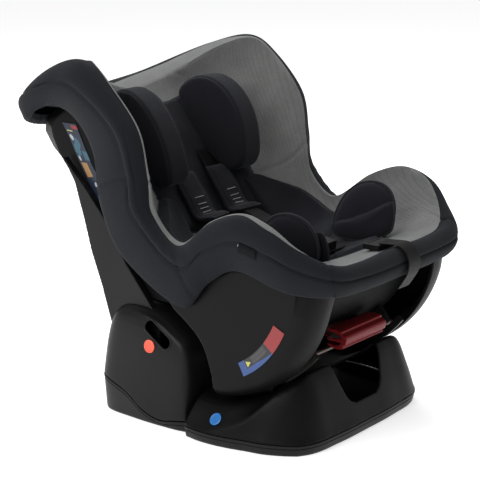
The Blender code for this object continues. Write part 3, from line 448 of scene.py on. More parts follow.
def bowl_between(edge, middle, share):
    """Point on a section from the edge, share 0, to the spine, share 1."""
    turn = math.radians(90) * (1 - share)
    out = math.sin(turn) ** BOWL_SQUARENESS if turn > 0 else 0.0
    rise = 1 - abs(math.cos(turn)) ** BOWL_SQUARENESS
    return Vector((edge.x * out, middle.y + (edge.y - middle.y) * rise,
                   middle.z + (edge.z - middle.z) * rise))


def reach_at(station, side):
    table = LIGHT_REACH[side]
    low = max(0, min(int(station), LAST - 1))
    t = station - low
    t = t * t * (3 - 2 * t)
    return table[low] * (1 - t) + table[low + 1] * t


def rim_marks(station):
    return [spline(line, station) for line in (HEM, SEAM, CROWN, EDGE)]


def bowl_spot(station, share, side, lift=0.0):
    """Point over the bowl; share runs from the edge, 0, to the spine, 1."""
    def surface(s, a):
        s = min(max(s, 0.0), LAST)
        return bowl_between(spline(EDGE, s), spline(SPINE, s), min(max(a, 0.0), 1.0))

    step = 0.05
    along = surface(station + step, share) - surface(station - step, share)
    inward = surface(station, share + step) - surface(station, share - step)
    normal = along.cross(inward)
    if share > 1 - step:
        normal.x = 0.0
    here = surface(station, share) + normal.normalized() * lift
    return at(here.x * side, here.y, here.z)


def lengths_along(grid):
    """Distance of each point from the start of its row."""
    runs = np.linalg.norm(np.diff(grid, axis=1), axis=2)
    return np.concatenate([np.zeros((len(grid), 1)), np.cumsum(runs, axis=1)], axis=1)


def uneven(grid, lift, size, height):
    """Adds soft unevenness of cloth to a grid of lifts."""
    for i, row in enumerate(grid):
        for j, place in enumerate(row):
            lift[i, j] += height * noise.noise(Vector(place) * size)


def groove(points, line, depth, width):
    """How far each point sinks beside a sewn line, a polyline of points."""
    flat = points.reshape(-1, 3)
    best = np.full(len(flat), np.inf)
    for a, b in zip(line, line[1:]):
        a, b = np.array(a), np.array(b)
        run = b - a
        t = np.clip(((flat - a) @ run) / max(run @ run, TINY), 0, 1)
        best = np.minimum(best, np.linalg.norm(flat - (a + t[:, None] * run), axis=1))
    return (depth * np.exp(-(best / width) ** 2)).reshape(points.shape[:-1])


def make_rim_cover():
    """Dark outer cover: padded band from the light cover over the crown down to a turned-in hem."""
    spans, cols = 3, 36                 # hem to seam to crown to edge, and columns over them
    lower_puff, upper_puff = .0030, .0026
    seam_depth, cross_depth, seam_width = .0030, .0028, .0021
    thick = .0022
    rows = []
    for station, side in RING:
        marks = rim_marks(station)
        line = [spline(marks, p) for p in steps(0, spans - reach_at(station, side), cols)]
        rows.append([at(p.x * side, p.y, p.z) for p in line])
    grid = np.array(rows)
    norm = normals_of(grid, True)
    if norm[CHECK_ROW, 24, 0] < 0:
        norm = -norm
    length = lengths_along(grid)
    stations = np.array([s for s, _ in RING])
    # column of the long seam, where the spline position is 1
    ends = np.array([spans - reach_at(s, side) for s, side in RING])
    seam_col = cols / ends
    seam_len = np.array([np.interp(c, range(cols + 1), row) for c, row in zip(seam_col, length)])[:, None]
    beside = length - seam_len
    above = length[:, -1:] - seam_len
    lower = np.clip(length / np.maximum(seam_len, TINY), 0, 1)
    upper = np.clip(beside / np.maximum(above, TINY), 0, 1)
    lift = np.where(beside > 0, upper_puff * np.sin(np.pi * upper) ** 0.8,
                    lower_puff * np.sin(np.pi * lower) ** 0.8)
    lift = lift - seam_depth * np.exp(-(beside / seam_width) ** 2)
    # seams across the band: (station at the hem, station at the top end, mark at the top end)
    for low_station, high_station, high in ((9.35, 8.90, 1.0), (6.50, 7.00, 1.0), (2.05, 2.25, 3.0),
                                            (14.0, 14.0, 3.0)):
        for seam_side in (-1, 1):
            line = [spline(rim_marks(low_station + (high_station - low_station) * t), high * t)
                    for t in steps(0, 1, 12)]
            line = [at(p.x * seam_side, p.y, p.z) for p in line]
            lift = lift - groove(grid, line, cross_depth, seam_width)
    # elastic gathers along the hood's hem and soft creases behind the side hump
    around = lengths_along(grid[:, :1].swapaxes(0, 1))[0]
    hood = np.clip((stations - 11.6) / 0.9, 0, 1)[:, None]
    gathers = np.sin(2 * np.pi * around / 0.0105) + 0.5 * np.sin(2 * np.pi * around / 0.0262 + 1.0)
    lift = lift + 0.0011 * gathers[:, None] * hood * np.exp(-length / 0.010)
    pull = np.clip(1 - np.abs(stations - 7.3) / 1.3, 0, 1)[:, None]
    diagonal = np.sin(2 * np.pi * (around[:, None] / 0.030 + length / 0.055))
    lift = lift + 0.0007 * diagonal * pull * np.clip(1 - np.abs(beside - 0.014) / 0.02, 0, 1)
    uneven(grid, lift, 14.0, 0.0009)
    outer = grid + norm * lift[..., None]
    # turned-in hem, rolled round and up inside: (out of the cover, up)
    hem = np.stack([outer[:, 0] + norm[:, 0] * out_by + np.array((0, 0, up_by)) for out_by, up_by in
                    ((-.0145, .010), (-.0120, .001), (-.0075, -.0035), (-.0030, -.0030))], axis=1)
    full = np.concatenate([hem, outer], axis=1)
    outward = normals_of(full, True)
    if outward[CHECK_ROW, 24, 0] < 0:
        outward = -outward
    cover = put("rim_cover", shell_from(full, full - outward * thick, True), MATS["rim"], "seat",
                ["cover_rim"], 70)
    boundary = [Vector(p) for p in outer[:, -1]]
    tube("rim_piping", boundary, 0.0009, MATS["rim"], "seat", closed=True)


def make_inner_cover():
    """Light quilted cover lining the bowl, from the rim's boundary to the spine."""
    rim_cols, bowl_cols = 5, 34
    thick = .0022
    rows = []
    for station, side in RING:
        marks = rim_marks(station)
        line = [spline(marks, p) for p in steps(3 - reach_at(station, side), 3, rim_cols)]
        edge, middle = marks[-1], spline(SPINE, station)
        line += [bowl_between(edge, middle, k / bowl_cols) for k in range(1, bowl_cols + 1)]
        rows.append([at(p.x * side, p.y, p.z) for p in line])
    grid = np.array(rows)
    norm = normals_of(grid, True)
    count = len(RING)
    for i, (station, side) in enumerate(RING):
        near = spline(SPINE, max(station - 0.5, 0.0))
        far = spline(SPINE, min(station + 0.5, LAST))
        run = (far - near).normalized()
        norm[i, -1] = (0, -run.z, run.y)
        for j in range(grid.shape[1] - 4, grid.shape[1] - 1):
            norm[i, j] = norm[i, j] if norm[i, j] @ norm[i, -1] > 0 else norm[i, -1]
    if norm[CHECK_ROW, rim_cols + 10] @ np.array((-1, 0, 0.3)) < 0:
        norm = -norm
        norm[:, -1] = -norm[:, -1]
    lift = 0.0018 * np.sin(np.pi * np.clip(lengths_along(grid) / 0.020, 0, .5))
    # panel seams, each a list of (station, share), on both sides
    seams = [[(14.0, -.02), (13.6, .25), (13.05, .58), (12.6, .78)],
             [(8.9, -.02), (9.2, .30), (9.55, .59), (9.75, .66)],
             [(10.6, .60), (9.75, .64), (9.35, .61), (8.8, .56)],
             [(2.25, -.02), (2.95, .23), (3.75, .33), (4.45, .41), (5.3, .50)]]
    for line in seams:
        for side in (-1, 1):
            path = [bowl_spot(s, max(a, 0.0), side) for s, a in smooth_pairs(line, 4)]
            lift = lift - groove(grid, path, 0.0024, 0.0028)
            lift = lift + groove(grid, path, 0.0012, 0.0090)
    uneven(grid, lift, 11.0, 0.0010)
    outer = grid + norm * lift[..., None]
    bm = bmesh.new()
    top = vertex_grid(bm, outer)
    low = vertex_grid(bm, outer - norm * thick)
    for i in range(count):
        k = (i + 1) % count
        for j in range(grid.shape[1] - 1):
            bm.faces.new((top[i][j], top[k][j], top[k][j + 1], top[i][j + 1]))
            bm.faces.new((low[i][j + 1], low[k][j + 1], low[k][j], low[i][j]))
        bm.faces.new((top[k][0], top[i][0], low[i][0], low[k][0]))
    bmesh.ops.remove_doubles(bm, verts=bm.verts[:], dist=0.00003)
    cover = put("inner_cover", bm, MATS["inner"], "seat", ["cover_inner"], 70)


def make_tab():
    """Plain woven tab sewn into the long seam on the child's right, held by a bar of stitches."""
    def place(u, v, lift):
        station = 4.83 - .47 * u
        spot = spline(rim_marks(station), .99 - .32 * v)
        out = Vector((-1, -.25, .25)).normalized() * (lift + .0008 + .0026 * math.sin(math.pi * min(v, .5)))
        return at(-spot.x, spot.y, spot.z) + out

    outer, inner = ([[place(u, v, lift) for v in steps(0, 1, 8)] for u in steps(0, 1, 16)]
                    for lift in (.0008, 0))
    put("rim_tab", shell_from(outer, inner), MATS["tab"], "seat")
    bar = [place(.02, v, .0011) for v in steps(.04, .34, 6)]
    tube("rim_tab_stitch", bar, .0005, MATS["thread"], "seat")


make_rim_cover()
make_inner_cover()
make_tab()


# ---------------------------------------------------------------- moulded parts
def evaluated(obj):
    """Apply an object's modifiers."""
    graph = bpy.context.evaluated_depsgraph_get()
    graph.update()
    mesh = bpy.data.meshes.new_from_object(obj.evaluated_get(graph))
    obj.modifiers.clear()
    old = obj.data
    obj.data = mesh
    bpy.data.meshes.remove(old)


def temp(bm, name="tool"):
    mesh = bpy.data.meshes.new(name)
    bmesh.ops.recalc_face_normals(bm, faces=bm.faces[:])
    bm.to_mesh(mesh)
    bm.free()
    obj = bpy.data.objects.new(name, mesh)
    bpy.context.scene.collection.objects.link(obj)
    return obj


def carve(obj, bm, operation="DIFFERENCE"):
    """Boolean with a tool mesh, which is used up."""
    tool = temp(bm)
    mod = obj.modifiers.new("carve", "BOOLEAN")
    mod.operation = operation
    mod.solver = "EXACT"
    mod.object = tool
    evaluated(obj)
    bpy.data.objects.remove(tool)


def moulded(bm_or_obj, name, mat, body, nodes, voxel=0.0016, passes=3, keep=0.5):
    """Round every edge of a solid as a mould would: fine remesh, smoothing, then fewer faces."""
    obj = bm_or_obj if isinstance(bm_or_obj, bpy.types.Object) else temp(bm_or_obj)
    mod = obj.modifiers.new("remesh", "REMESH")
    mod.mode = "VOXEL"
    mod.voxel_size = voxel
    mod = obj.modifiers.new("soften", "SMOOTH")
    mod.factor = 0.5
    mod.iterations = passes
    if keep < 1:
        mod = obj.modifiers.new("thin", "DECIMATE")
        mod.ratio = keep
    evaluated(obj)
    bm = bmesh.new()
    bm.from_mesh(obj.data)
    bpy.data.objects.remove(obj)
    return put(name, bm, mat, body, nodes, 60)


def prism_bm(outline, low, high, plane="yz"):
    """Extrusion of a closed outline: (depth, height) along X, or (x, height) along depth."""
    bm = bmesh.new()
    if plane == "yz":
        rings = [[bm.verts.new(at(x, d, z)) for d, z in outline] for x in (low, high)]
    else:
        rings = [[bm.verts.new(at(x, d, z)) for x, z in outline] for d in (low, high)]
    bm.faces.new(rings[0])
    bm.faces.new(rings[1][::-1])
    count = len(outline)
    for i in range(count):
        k = (i + 1) % count
        bm.faces.new((rings[0][k], rings[0][i], rings[1][i], rings[1][k]))
    return bm


def block_bm(low, high, turn=None):
    bm = bmesh.new()
    bmesh.ops.create_cube(bm, size=1.0)
    for vert in bm.verts:
        for axis in range(3):
            vert.co[axis] = low[axis] if vert.co[axis] < 0 else high[axis]
    if turn:
        bm.transform(turn)
    return bm


def stadium(centre, length, width, angle, steps_round=10):
    """Outline of a slot with round ends in the (depth, height) plane."""
    turn = math.radians(angle)
    along = Vector((math.cos(turn), math.sin(turn)))
    reach = (length - width) / 2
    out = []
    for end, start in ((1, -90), (-1, 90)):
        for degrees in steps(start, start + 180, steps_round):
            spread = turn + math.radians(degrees)
            out.append((centre[0] + along.x * reach * end + math.cos(spread) * width / 2,
                        centre[1] + along.y * reach * end + math.sin(spread) * width / 2))
    return out


FRONT_NET = [
    [(0, 0, .0189), (.05, 0, .0189), (.09, .002, .0189), (.122, .004, .0189), (.146, .010, .0189),
     (.165, .021, .0189)],
    [(0, .014, .065), (.05, .014, .065), (.09, .015, .066), (.124, .017, .066), (.152, .026, .052),
     (.179, .042, .0189)],
    [(0, .030, .108), (.05, .030, .108), (.09, .031, .110), (.128, .034, .106), (.163, .048, .068),
     (.191, .069, .0189)],
    [(0, .042, .115), (.05, .042, .115), (.09, .043, .115), (.128, .051, .109), (.170, .073, .076),
     (.197, .097, .0189)],
    [(0, .070, .093), (.05, .070, .093), (.10, .072, .092), (.142, .081, .086), (.187, .105, .049),
     (.204, .126, .0189)],
    [(0, .120, .0695), (.06, .120, .0695), (.12, .120, .0695), (.165, .128, .0650), (.198, .146, .033),
     (.208, .156, .0189)],
    [(0, .165, .0600), (.06, .165, .0600), (.125, .165, .0600), (.168, .170, .0580), (.201, .178, .026),
     (.208, .183, .0189)],
    [(0, .207, .0610), (.06, .207, .0610), (.125, .207, .0610), (.166, .207, .0590), (.199, .207, .030),
     (.204, .207, .0189)],
]
REAR_NET = [
    [(0, .2140, .020), (.06, .2140, .020), (.098, .2140, .020), (.112, .2140, .020), (.140, .2140, .020),
     (.165, .2140, .020), (.182, .2150, .020), (.191, .2160, .0189)],
    [(0, .216, .055), (.06, .216, .055), (.098, .216, .057), (.113, .217, .080), (.143, .217, .084),
     (.170, .218, .080), (.185, .222, .060), (.193, .226, .0175)],
    [(0, .221, .080), (.06, .221, .080), (.098, .221, .082), (.115, .223, .124), (.146, .224, .133),
     (.171, .226, .128), (.183, .232, .108), (.195, .240, .0155)],
    [(0, .245, .086), (.06, .245, .086), (.100, .245, .090), (.117, .245, .144), (.147, .246, .153),
     (.171, .248, .148), (.183, .256, .128), (.196, .268, .0115)],
    [(0, .285, .088), (.06, .285, .088), (.102, .285, .094), (.118, .285, .162), (.147, .286, .174),
     (.170, .288, .169), (.183, .294, .148), (.196, .302, .0210)],
    [(0, .330, .092), (.06, .330, .092), (.102, .330, .098), (.118, .330, .168), (.147, .330, .181),
     (.169, .331, .175), (.182, .334, .153), (.194, .338, .0425)],
    [(0, .368, .096), (.06, .368, .096), (.100, .368, .102), (.116, .368, .164), (.144, .368, .178),
     (.166, .368, .170), (.179, .370, .148), (.191, .372, .0540)],
    [(0, .394, .090), (.06, .394, .090), (.098, .394, .095), (.113, .394, .136), (.138, .394, .150),
     (.158, .393, .142), (.172, .391, .120), (.184, .391, .0590)],
    [(0, .408, .076), (.06, .408, .076), (.098, .408, .078), (.112, .408, .092), (.131, .407, .098),
     (.150, .405, .093), (.162, .403, .084), (.170, .402, .0600)],
    [(0, .414, .0610), (.06, .414, .0610), (.096, .414, .0610), (.109, .4135, .0610), (.124, .413, .0610),
     (.139, .412, .0610), (.149, .410, .0610), (.156, .408, .0610)],
]
CLEAR = 0.0004
BAND_HEIGHT = 0.0185
SUPPORT_REAR = [(.385, .110), (.413, .196), (.434, .249), (.449, .301), (.468, .360)]


def net_surface(net, fine):
    """Smooth grid through a half net of (x, depth, height) rows, mirrored over X."""
    rows = []
    for i in range((len(net) - 1) * fine + 1):
        knots = [spline([row[c] for row in net], i / fine) for c in range(len(net[0]))]
        half = smooth_path(knots, fine)
        rows.append([Vector((-p.x, p.y, p.z)) for p in half[:0:-1]] + half)
    return rows


def net_shell(net, wall, fine):
    """Open moulding of even wall thickness under a mirrored net, as a bmesh."""
    rows = net_surface(net, fine)
    outer, inner = [], []
    for i, row in enumerate(rows):
        outer_row, inner_row = [], []
        for j, place in enumerate(row):
            along = rows[min(i + 1, len(rows) - 1)][j] - rows[max(i - 1, 0)][j]
            across = row[min(j + 1, len(row) - 1)] - row[max(j - 1, 0)]
            inside = place - across.cross(along).normalized() * wall
            lowest = place.z if i in (0, len(rows) - 1) else row[0].z
            inside.z = max(inside.z, lowest)
            outer_row.append(at(*place))
            inner_row.append(at(*inside))
        outer.append(outer_row)
        inner.append(inner_row)
    return shell_from(outer, inner)


WALL = 0.004                    # moulded housings
CHEEK_X = (.150, .162)          # side cheeks of the back support
PANEL_X = .1505                 # half width of its leaning panel
SLOT_PLACE = (.279, .145)       # belt slot's middle, depth and height
SLOT_ANGLE = 33


def cheek_outline(grow):
    front = [(.494 + grow, .400), (.440 - grow, .347), (.398 - grow, .300), (.360 - grow, .241),
             (.325 - grow, .200), (.292 - grow, .160), (.292 - grow, .110 - grow)]
    return front + [(d + grow, z - grow * (i == 0)) for i, (d, z) in enumerate(SUPPORT_REAR)]


def panel_outline(grow):
    wall = 0.006
    rear = SUPPORT_REAR[:4]
    lower = [(d + grow, z - grow * (i == 0)) for i, (d, z) in enumerate(rear)]
    upper = [(d - wall - grow, z - grow * (i == 0)) for i, (d, z) in enumerate(rear)]
    return lower + upper[::-1]


def make_front_housing():
    """Front hump with the cut-out under the handle and a guide rib along each side of the seat."""
    shell = temp(net_shell(FRONT_NET, WALL, 5))
    notch = [(-.069, .130), (-.060, .098), (-.048, .066), (-.040, .056), (-.028, .050),
             (.028, .050), (.040, .056), (.048, .066), (.060, .098), (.069, .130)]
    carve(shell, prism_bm(notch, -.030, .075, "xz"))
    rib_radius = .188
    rib = [(d, PIVOT_HEIGHT - math.sqrt(rib_radius ** 2 - (d - PIVOT_DEPTH) ** 2))
           for d in steps(.086, .205, 16)]
    rib += [(.205, .0575), (.165, .0570), (.120, .0660), (.086, .080)]
    for side in (-1, 1):
        carve(shell, prism_bm(rib, *span(side, .1358, .1402)), "UNION")
    moulded(shell, "front_housing", MATS["satin"], "base",
            ["base_front_housing"])


def make_rear_housing():
    """Rear hump with two towers, a belt slot in each and pockets for the back support."""
    shell = temp(net_shell(REAR_NET, WALL, 5))
    for side in (-1, 1):
        carve(shell, prism_bm(stadium(SLOT_PLACE, .056, .018, SLOT_ANGLE), *span(side, .090, .21)))
        pocket = span(side, CHEEK_X[0] - CLEAR, CHEEK_X[1] + CLEAR)
        carve(shell, prism_bm(cheek_outline(CLEAR), *pocket))
    carve(shell, prism_bm(panel_outline(CLEAR), -PANEL_X, PANEL_X))
    moulded(shell, "rear_housing", MATS["plastic"], "base",
            ["base_rear_housing"])


def make_slot_lips():
    """Raised rolled lip round each belt slot, following the housing's flank."""
    housing = frame["nodes"]["base_rear_housing"]
    tree = BVHTree.FromPolygons([v.co for v in housing.data.vertices],
                                [p.vertices for p in housing.data.polygons])
    for label, side in SIDES:
        points = []
        for d, z in stadium(SLOT_PLACE, .0585, .0205, SLOT_ANGLE, 16):
            hit = tree.ray_cast(at(side * .25, d, z), Vector((-side, 0, 0)))
            points.append(hit[0] if hit[0] is not None else at(side * .17, d, z))
        xs = [p.x for p in points]
        for i, p in enumerate(points):
            p.x = (xs[i - 1] + 2 * xs[i] + xs[(i + 1) % len(xs)]) / 4
        tube("slot_lip_" + label, points, .0017, MATS["plastic"], "base", True)


def make_pan():
    """Shallow tray with a rounded foot and a beaded, grooved rim that rises in a wave."""
    front = net_surface(FRONT_NET, 6)
    rear = net_surface(REAR_NET, 6)
    middle = len(front[0]) // 2
    half = front[0][middle:] + [row[-1] for row in front[1:]]
    half += [Vector((.1935, .2085, BAND_HEIGHT))]
    half += [row[-1] for row in rear[1:]]
    half += rear[-1][len(rear[0]) // 2:-1][::-1]
    half = [Vector((p.x, p.y, p.z - 2 * CLEAR)) for p in half]
    loop = half + [Vector((-p.x, p.y, p.z)) for p in half[-2:0:-1]]
    # (inset from the rim line, height above the floor or below the rim, measured from the rim)
    profile = [(.0090, .0000, False), (.0030, .0000, False), (.0012, .0006, False), (.0003, .0022, False),
               (.0000, .0050, False), (.0000, -.0066, True), (.0009, -.0060, True), (.0009, -.0050, True),
               (-.0003, -.0044, True), (-.0004, -.0016, True), (.0003, -.0004, True), (.0012, -.0002, True),
               (.0050, -.0014, True), (.0052, .0056, False)]
    centre = Vector((0, .205))
    bm = bmesh.new()
    rings = [[] for _ in profile]
    count = len(loop)
    for i, place in enumerate(loop):
        spot = Vector((place.x, place.y))
        run = (loop[(i + 1) % count] - loop[i - 1]).to_2d().normalized()
        square = Vector((-run.y, run.x))
        if square.dot(centre - spot) < 0:
            square = -square
        for ring, (inset, height, from_rim) in zip(rings, profile):
            z = place.z + height if from_rim else height
            shrink = centre + (spot - centre) * (1 - .015 * (1 - min(z / place.z, 1)))
            flat = shrink + square * inset
            ring.append(bm.verts.new(at(flat.x, flat.y, z)))
    bridge(bm, rings)
    bm.faces.new(rings[-1])
    bm.faces.new(rings[0][::-1])
    bmesh.ops.triangulate(bm, faces=[f for f in bm.faces if len(f.verts) > 4])
    put("base_tray", bm, MATS["plastic"], "base", ["base_pan"], 50)


def make_back_support():
    """Two side cheeks joined by a leaning panel with a window."""
    support = temp(prism_bm(panel_outline(0), -PANEL_X, PANEL_X))
    for side in (-1, 1):
        carve(support, prism_bm(cheek_outline(0), *span(side, *CHEEK_X)), "UNION")
    carve(support, block_bm(at(-.085, .380, .205), at(.085, .500, .262)))
    moulded(support, "backrest_support", MATS["plastic"], "base",
            ["back_support"], .0015)


def on_arc(x, radius, degrees):
    turn = math.radians(degrees)
    return at(x, PIVOT_DEPTH + radius * math.cos(turn), PIVOT_HEIGHT + radius * math.sin(turn))


def arc_outline(radius, angles):
    """Places on a circle round the recline axis: (depth, height)."""
    turns = [math.radians(a) for a in angles]
    return [(PIVOT_DEPTH + radius * math.cos(t), PIVOT_HEIGHT + radius * math.sin(t)) for t in turns]


def make_skirts():
    """Side plates with a rolled rim round the front and bottom."""
    plate_radius = 0.176
    top = [(.012, .270), (.055, .279), (.095, .281), (.125, .278), (.166, .256), (.200, .240), (.262, .228)]
    rear = [(.236, .198), (.211, .181), (.190, .164), (.175, .143), (.164, .112), (.160, .100)]
    outline = top + smooth_pairs(rear, 4) + arc_outline(plate_radius, range(262, 179, -3))
    # rolled rim, from the plate round to the inner lip: (radius, x)
    outside = [(.172, SKIRT_FACE), (.186, .1925), (.196, .1865), (.203, .175), (SKIRT_RADIUS, .159),
               (SKIRT_RADIUS, .142)]
    inside = [(.172, .1895), (.184, .1880), (.192, .182), (.1985, .172), (.202, .158), (.202, .142)]
    angles = steps(180, 263, 60)
    draw_in = [1 - 0.045 * max(0, 1 - (a - 180) / 14) for a in angles]
    for label, side in SIDES:
        plate = temp(prism_bm(outline, *span(side, .189, SKIRT_FACE)))
        outer, inner = ([[on_arc(side * x * k, r, a) for r, x in smooth_pairs(line, 3)]
                         for a, k in zip(angles, draw_in)] for line in (outside, inside))
        carve(plate, shell_from(outer, inner), "UNION")
        moulded(plate, "skirt_" + label, MATS["satin"], "seat",
                ["side_skirt_" + label], .0014)


def make_underside():
    """Curved panel under the seat, with a flange up each side and an opening for the handle."""
    radius, wall = 0.165, 0.005
    angles = steps(189, 262, 60)
    xs = steps(-0.139, 0.139, 40)
    outer, inner = ([[on_arc(x, r, a) for x in xs] for a in angles] for r in (radius, radius - wall))
    panel = temp(shell_from(outer, inner))
    flange = arc_outline(radius - wall / 2, steps(204.5, 262, 24)) + [(.160, .205)]
    for side in (-1, 1):
        carve(panel, prism_bm(flange, *span(side, .1345, .1389)), "UNION")
    carve(panel, block_bm(at(-.046, .040, .149), at(.046, .090, .166)))
    moulded(panel, "underside_panel", MATS["dark"], "seat",
            ["seat_underside"], .0018)


def make_back_housing():
    """Hollow rear box of the seat: side walls back to a ridge, then a chamfered rear face."""
    half = 0.147
    # (height, front depth, ridge depth, rear x, rear depth, middle depth); the top lies in the hood
    levels = [(.477, .441, .495, .100, .538, .549), (.470, .436, .500, .100, .548, .560),
              (.456, .424, .520, .100, .572, .584), (.440, .408, .532, .100, .590, .606),
              (.420, .393, .526, .100, .592, .605), (.395, .373, .512, .100, .574, .585),
              (.362, .350, .484, .105, .520, .527), (.300, .311, .428, .115, .434, .436),
              (.240, .262, .385, .120, .392, .394), (.186, .240, .330, .120, .337, .339)]
    outer, inner = [], []
    for z, front, ridge, rear_x, rear, middle in levels:
        line = [(-half, front), (-half, (front + ridge) / 2), (-half, ridge), (-rear_x, rear),
                (0, middle), (rear_x, rear), (half, ridge), (half, (front + ridge) / 2), (half, front)]
        outer.append([at(x, d, z) for x, d in line])
        inside = [at(x * (1 - WALL / half), d - WALL * (abs(x) < half), z) for x, d in line]
        for index in (2, 6):
            inside[index].y = ridge - WALL * 0.6 + FRONT_EDGE_Y
        inner.append(inside)
    shell = shell_from(outer, inner)
    moulded(shell, "back_box", MATS["dark"], "seat",
            ["seat_back_housing"], .0016, 5, .4)


def make_handle():
    """Red pull grip: deep C section with rounded lips and a flat tongue."""
    front = [(.046, .1695), (.036, .1703), (.026, .1698), (.0205, .1682), (.0202, .1662), (.0212, .1650),
             (.0190, .1640), (.0148, .1628), (.0118, .1600), (.0112, .1560), (.0122, .1510), (.0146, .1476),
             (.0176, .1464), (.0180, .1450), (.0168, .1432), (.0190, .1410), (.0250, .1396), (.0360, .1402),
             (.046, .1430)]
    behind = [(.046, .1465), (.033, .1445), (.024, .147), (.020, .151), (.050, .151), (.088, .151),
              (.088, .1545), (.050, .1545), (.020, .157), (.022, .161), (.030, .164), (.046, .166)]
    outline = smooth_pairs(front, 4) + behind
    grip = temp(prism_bm(outline, -.056, .056))
    for side in (-1, 1):
        low, high = span(side, .042, .072)
        carve(grip, block_bm(at(low, .047, .140), at(high, .100, .170)))
    moulded(grip, "pull_handle", MATS["red"], "handle", ["recline_handle"],
            .0007, 4)


make_front_housing()
make_rear_housing()
make_slot_lips()
make_pan()
make_back_support()
make_skirts()
make_underside()
make_back_housing()
make_handle()


# ---------------------------------------------------------------- insert and harness
# Outer edge of the insert over each side of the bowl: station, share from the edge.
HIP_EDGE = [(5.9, .56), (6.3, .36), (6.8, .22), (7.3, .15), (7.8, .19), (8.3, .27), (8.75, .38), (9.1, .48),
            (9.4, .57), (9.6, .64)]
HIP_INNER = 0.70
SEAT_EDGE = [(3.3, .80), (3.9, .60), (4.8, .50), (6.0, .50), (7.5, .48), (8.5, .52)]
# Outlines of a thigh wing's flap and of the lobe before it: (depth, height).
THIGH_OUTLINE = [(.158, .282), (.150, .318), (.130, .343), (.105, .354), (.080, .354), (.061, .344),
                 (.050, .324), (.049, .302), (.056, .286), (.078, .274), (.104, .268), (.134, .270)]
THIGH_LOBE = [(.150, .284), (.118, .296), (.085, .312), (.052, .330), (.043, .322), (.040, .300),
              (.046, .284), (.075, .270), (.110, .264), (.145, .268)]
# Side panel of a head wing: (along the backrest, out of the backrest) from the wing's middle.
WING_SIDE = [(-.092, -.030), (-.097, -.012), (-.088, .006), (-.062, .024), (-.030, .037), (.004, .042),
             (.034, .038), (.058, .026), (.074, .006), (.079, -.018), (.072, -.038), (.040, -.046),
             (.000, -.048), (-.045, -.046), (-.078, -.040)]


def between(pairs, value):
    """Smooth value from a table of (key, value) pairs."""
    keys = [k for k, _ in pairs]
    if value <= keys[0]:
        return pairs[0][1]
    if value >= keys[-1]:
        return pairs[-1][1]
    low = max(i for i, k in enumerate(keys) if k <= value)
    t = (value - keys[low]) / (keys[low + 1] - keys[low])
    return spline([(v, 0, 0) for _, v in pairs], low + t).x


def ripple(place, size, height):
    """Soft unevenness of cloth at a place."""
    return height * noise.noise(Vector(place) / size)


def crown(u, edge):
    """Rounded pad profile over 0..1, full height away from both ends."""
    near = min(u, 1 - u) / edge
    return math.sqrt(max(0.0, 1 - max(0.0, 1 - near) ** 2))


def bowl_pad(name, stations, shares, thick, nodes, seams=()):
    """Padded panel lying on the bowl. shares(station) gives the cross positions as (share, side)."""
    outer, inner = [], []
    count = len(stations)
    for i, station in enumerate(stations):
        row_out, row_in = [], []
        cross = shares(station)
        for j, (share, side) in enumerate(cross):
            u, v = i / (count - 1), j / (len(cross) - 1)
            height = thick * min(crown(u, .10), crown(v, .10))
            spot = bowl_spot(station, share, side)
            height += ripple(spot, .045, .0016) * crown(u, .2) * crown(v, .2)
            for seam in seams:
                height -= .0028 * math.exp(-((v - seam) / .010) ** 2)
            row_out.append(bowl_spot(station, share, side, .0014 + height))
            row_in.append(bowl_spot(station, share, side, .0008))
        outer.append(row_out)
        inner.append(row_in)
    pad = put(name, shell_from(outer, inner), MATS["insert"], "seat", nodes, 75)
    border = [row[0] for row in outer] + outer[-1][1:]
    border += [row[-1] for row in outer[::-1]][1:] + outer[0][::-1][1:-1]
    tube(name + "_piping", border, .0020, MATS["piping"], "seat", True)


def both_sides(low_share, count):
    half = steps(low_share, 1.0, count)
    return [(a, -1) for a in half] + [(a, 1) for a in half[-2::-1]]


def puff(name, outline, thick, out, nodes=(), pipe=.0024):
    """Cushion sewn along a closed outline, crowned on both faces, with piping round it."""
    rings = 14
    count = len(outline)
    middle = sum(outline, Vector()) / count
    bm = bmesh.new()
    faces = []
    for sign in (1, -1):
        loops = []
        for r in range(1, rings):
            share = 1 - (1 - r / rings) ** 1.6
            rise = thick * (1 - (1 - share) ** 2) ** 0.5 * sign
            loop = []
            for p in outline:
                flat = p.lerp(middle, share * .92)
                loop.append(bm.verts.new(flat + out * (rise + ripple(flat, .03, .0014) * share)))
            loops.append(loop)
        centre = bm.verts.new(middle + out * thick * 1.02 * sign)
        faces.append((loops, centre))
    edge = [bm.verts.new(p) for p in outline]
    for loops, centre in faces:
        bridge(bm, [edge] + loops)
        for k in range(count):
            bm.faces.new((loops[-1][k], loops[-1][(k + 1) % count], centre))
    pad = put(name, bm, MATS["insert"], "seat", nodes, 80)
    tube(name + "_piping", outline, pipe, MATS["piping"], "seat", True)


def closed_curve(points, fine):
    """Smooth closed curve through points."""
    count = len(points)
    out = []
    for i in range(count):
        quad = [points[(i + k) % count] for k in (-1, 0, 1, 2)]
        for k in range(fine):
            out.append(spline(quad, 1 + k / fine))
    return out


def make_pads():
    """Seat pad, back pad and the two hip bolsters, all lying on the bowl."""
    bowl_pad("seat_pad", steps(3.35, 8.5, 60), lambda s: both_sides(between(SEAT_EDGE, s), 26), .011,
             ["insert_seat"], (.30, .70))
    bowl_pad("back_pad", steps(8.75, 12.95, 60), lambda s: both_sides(.60, 22), .010, ["insert_back"],
             (.26, .74))
    for label, side in SIDES:
        bowl_pad("hip_bolster_" + label, steps(5.95, 9.6, 60),
                 lambda s: [(a, side) for a in steps(between(HIP_EDGE, s), HIP_INNER, 22)],
                 .017, ["hip_wing_" + label])


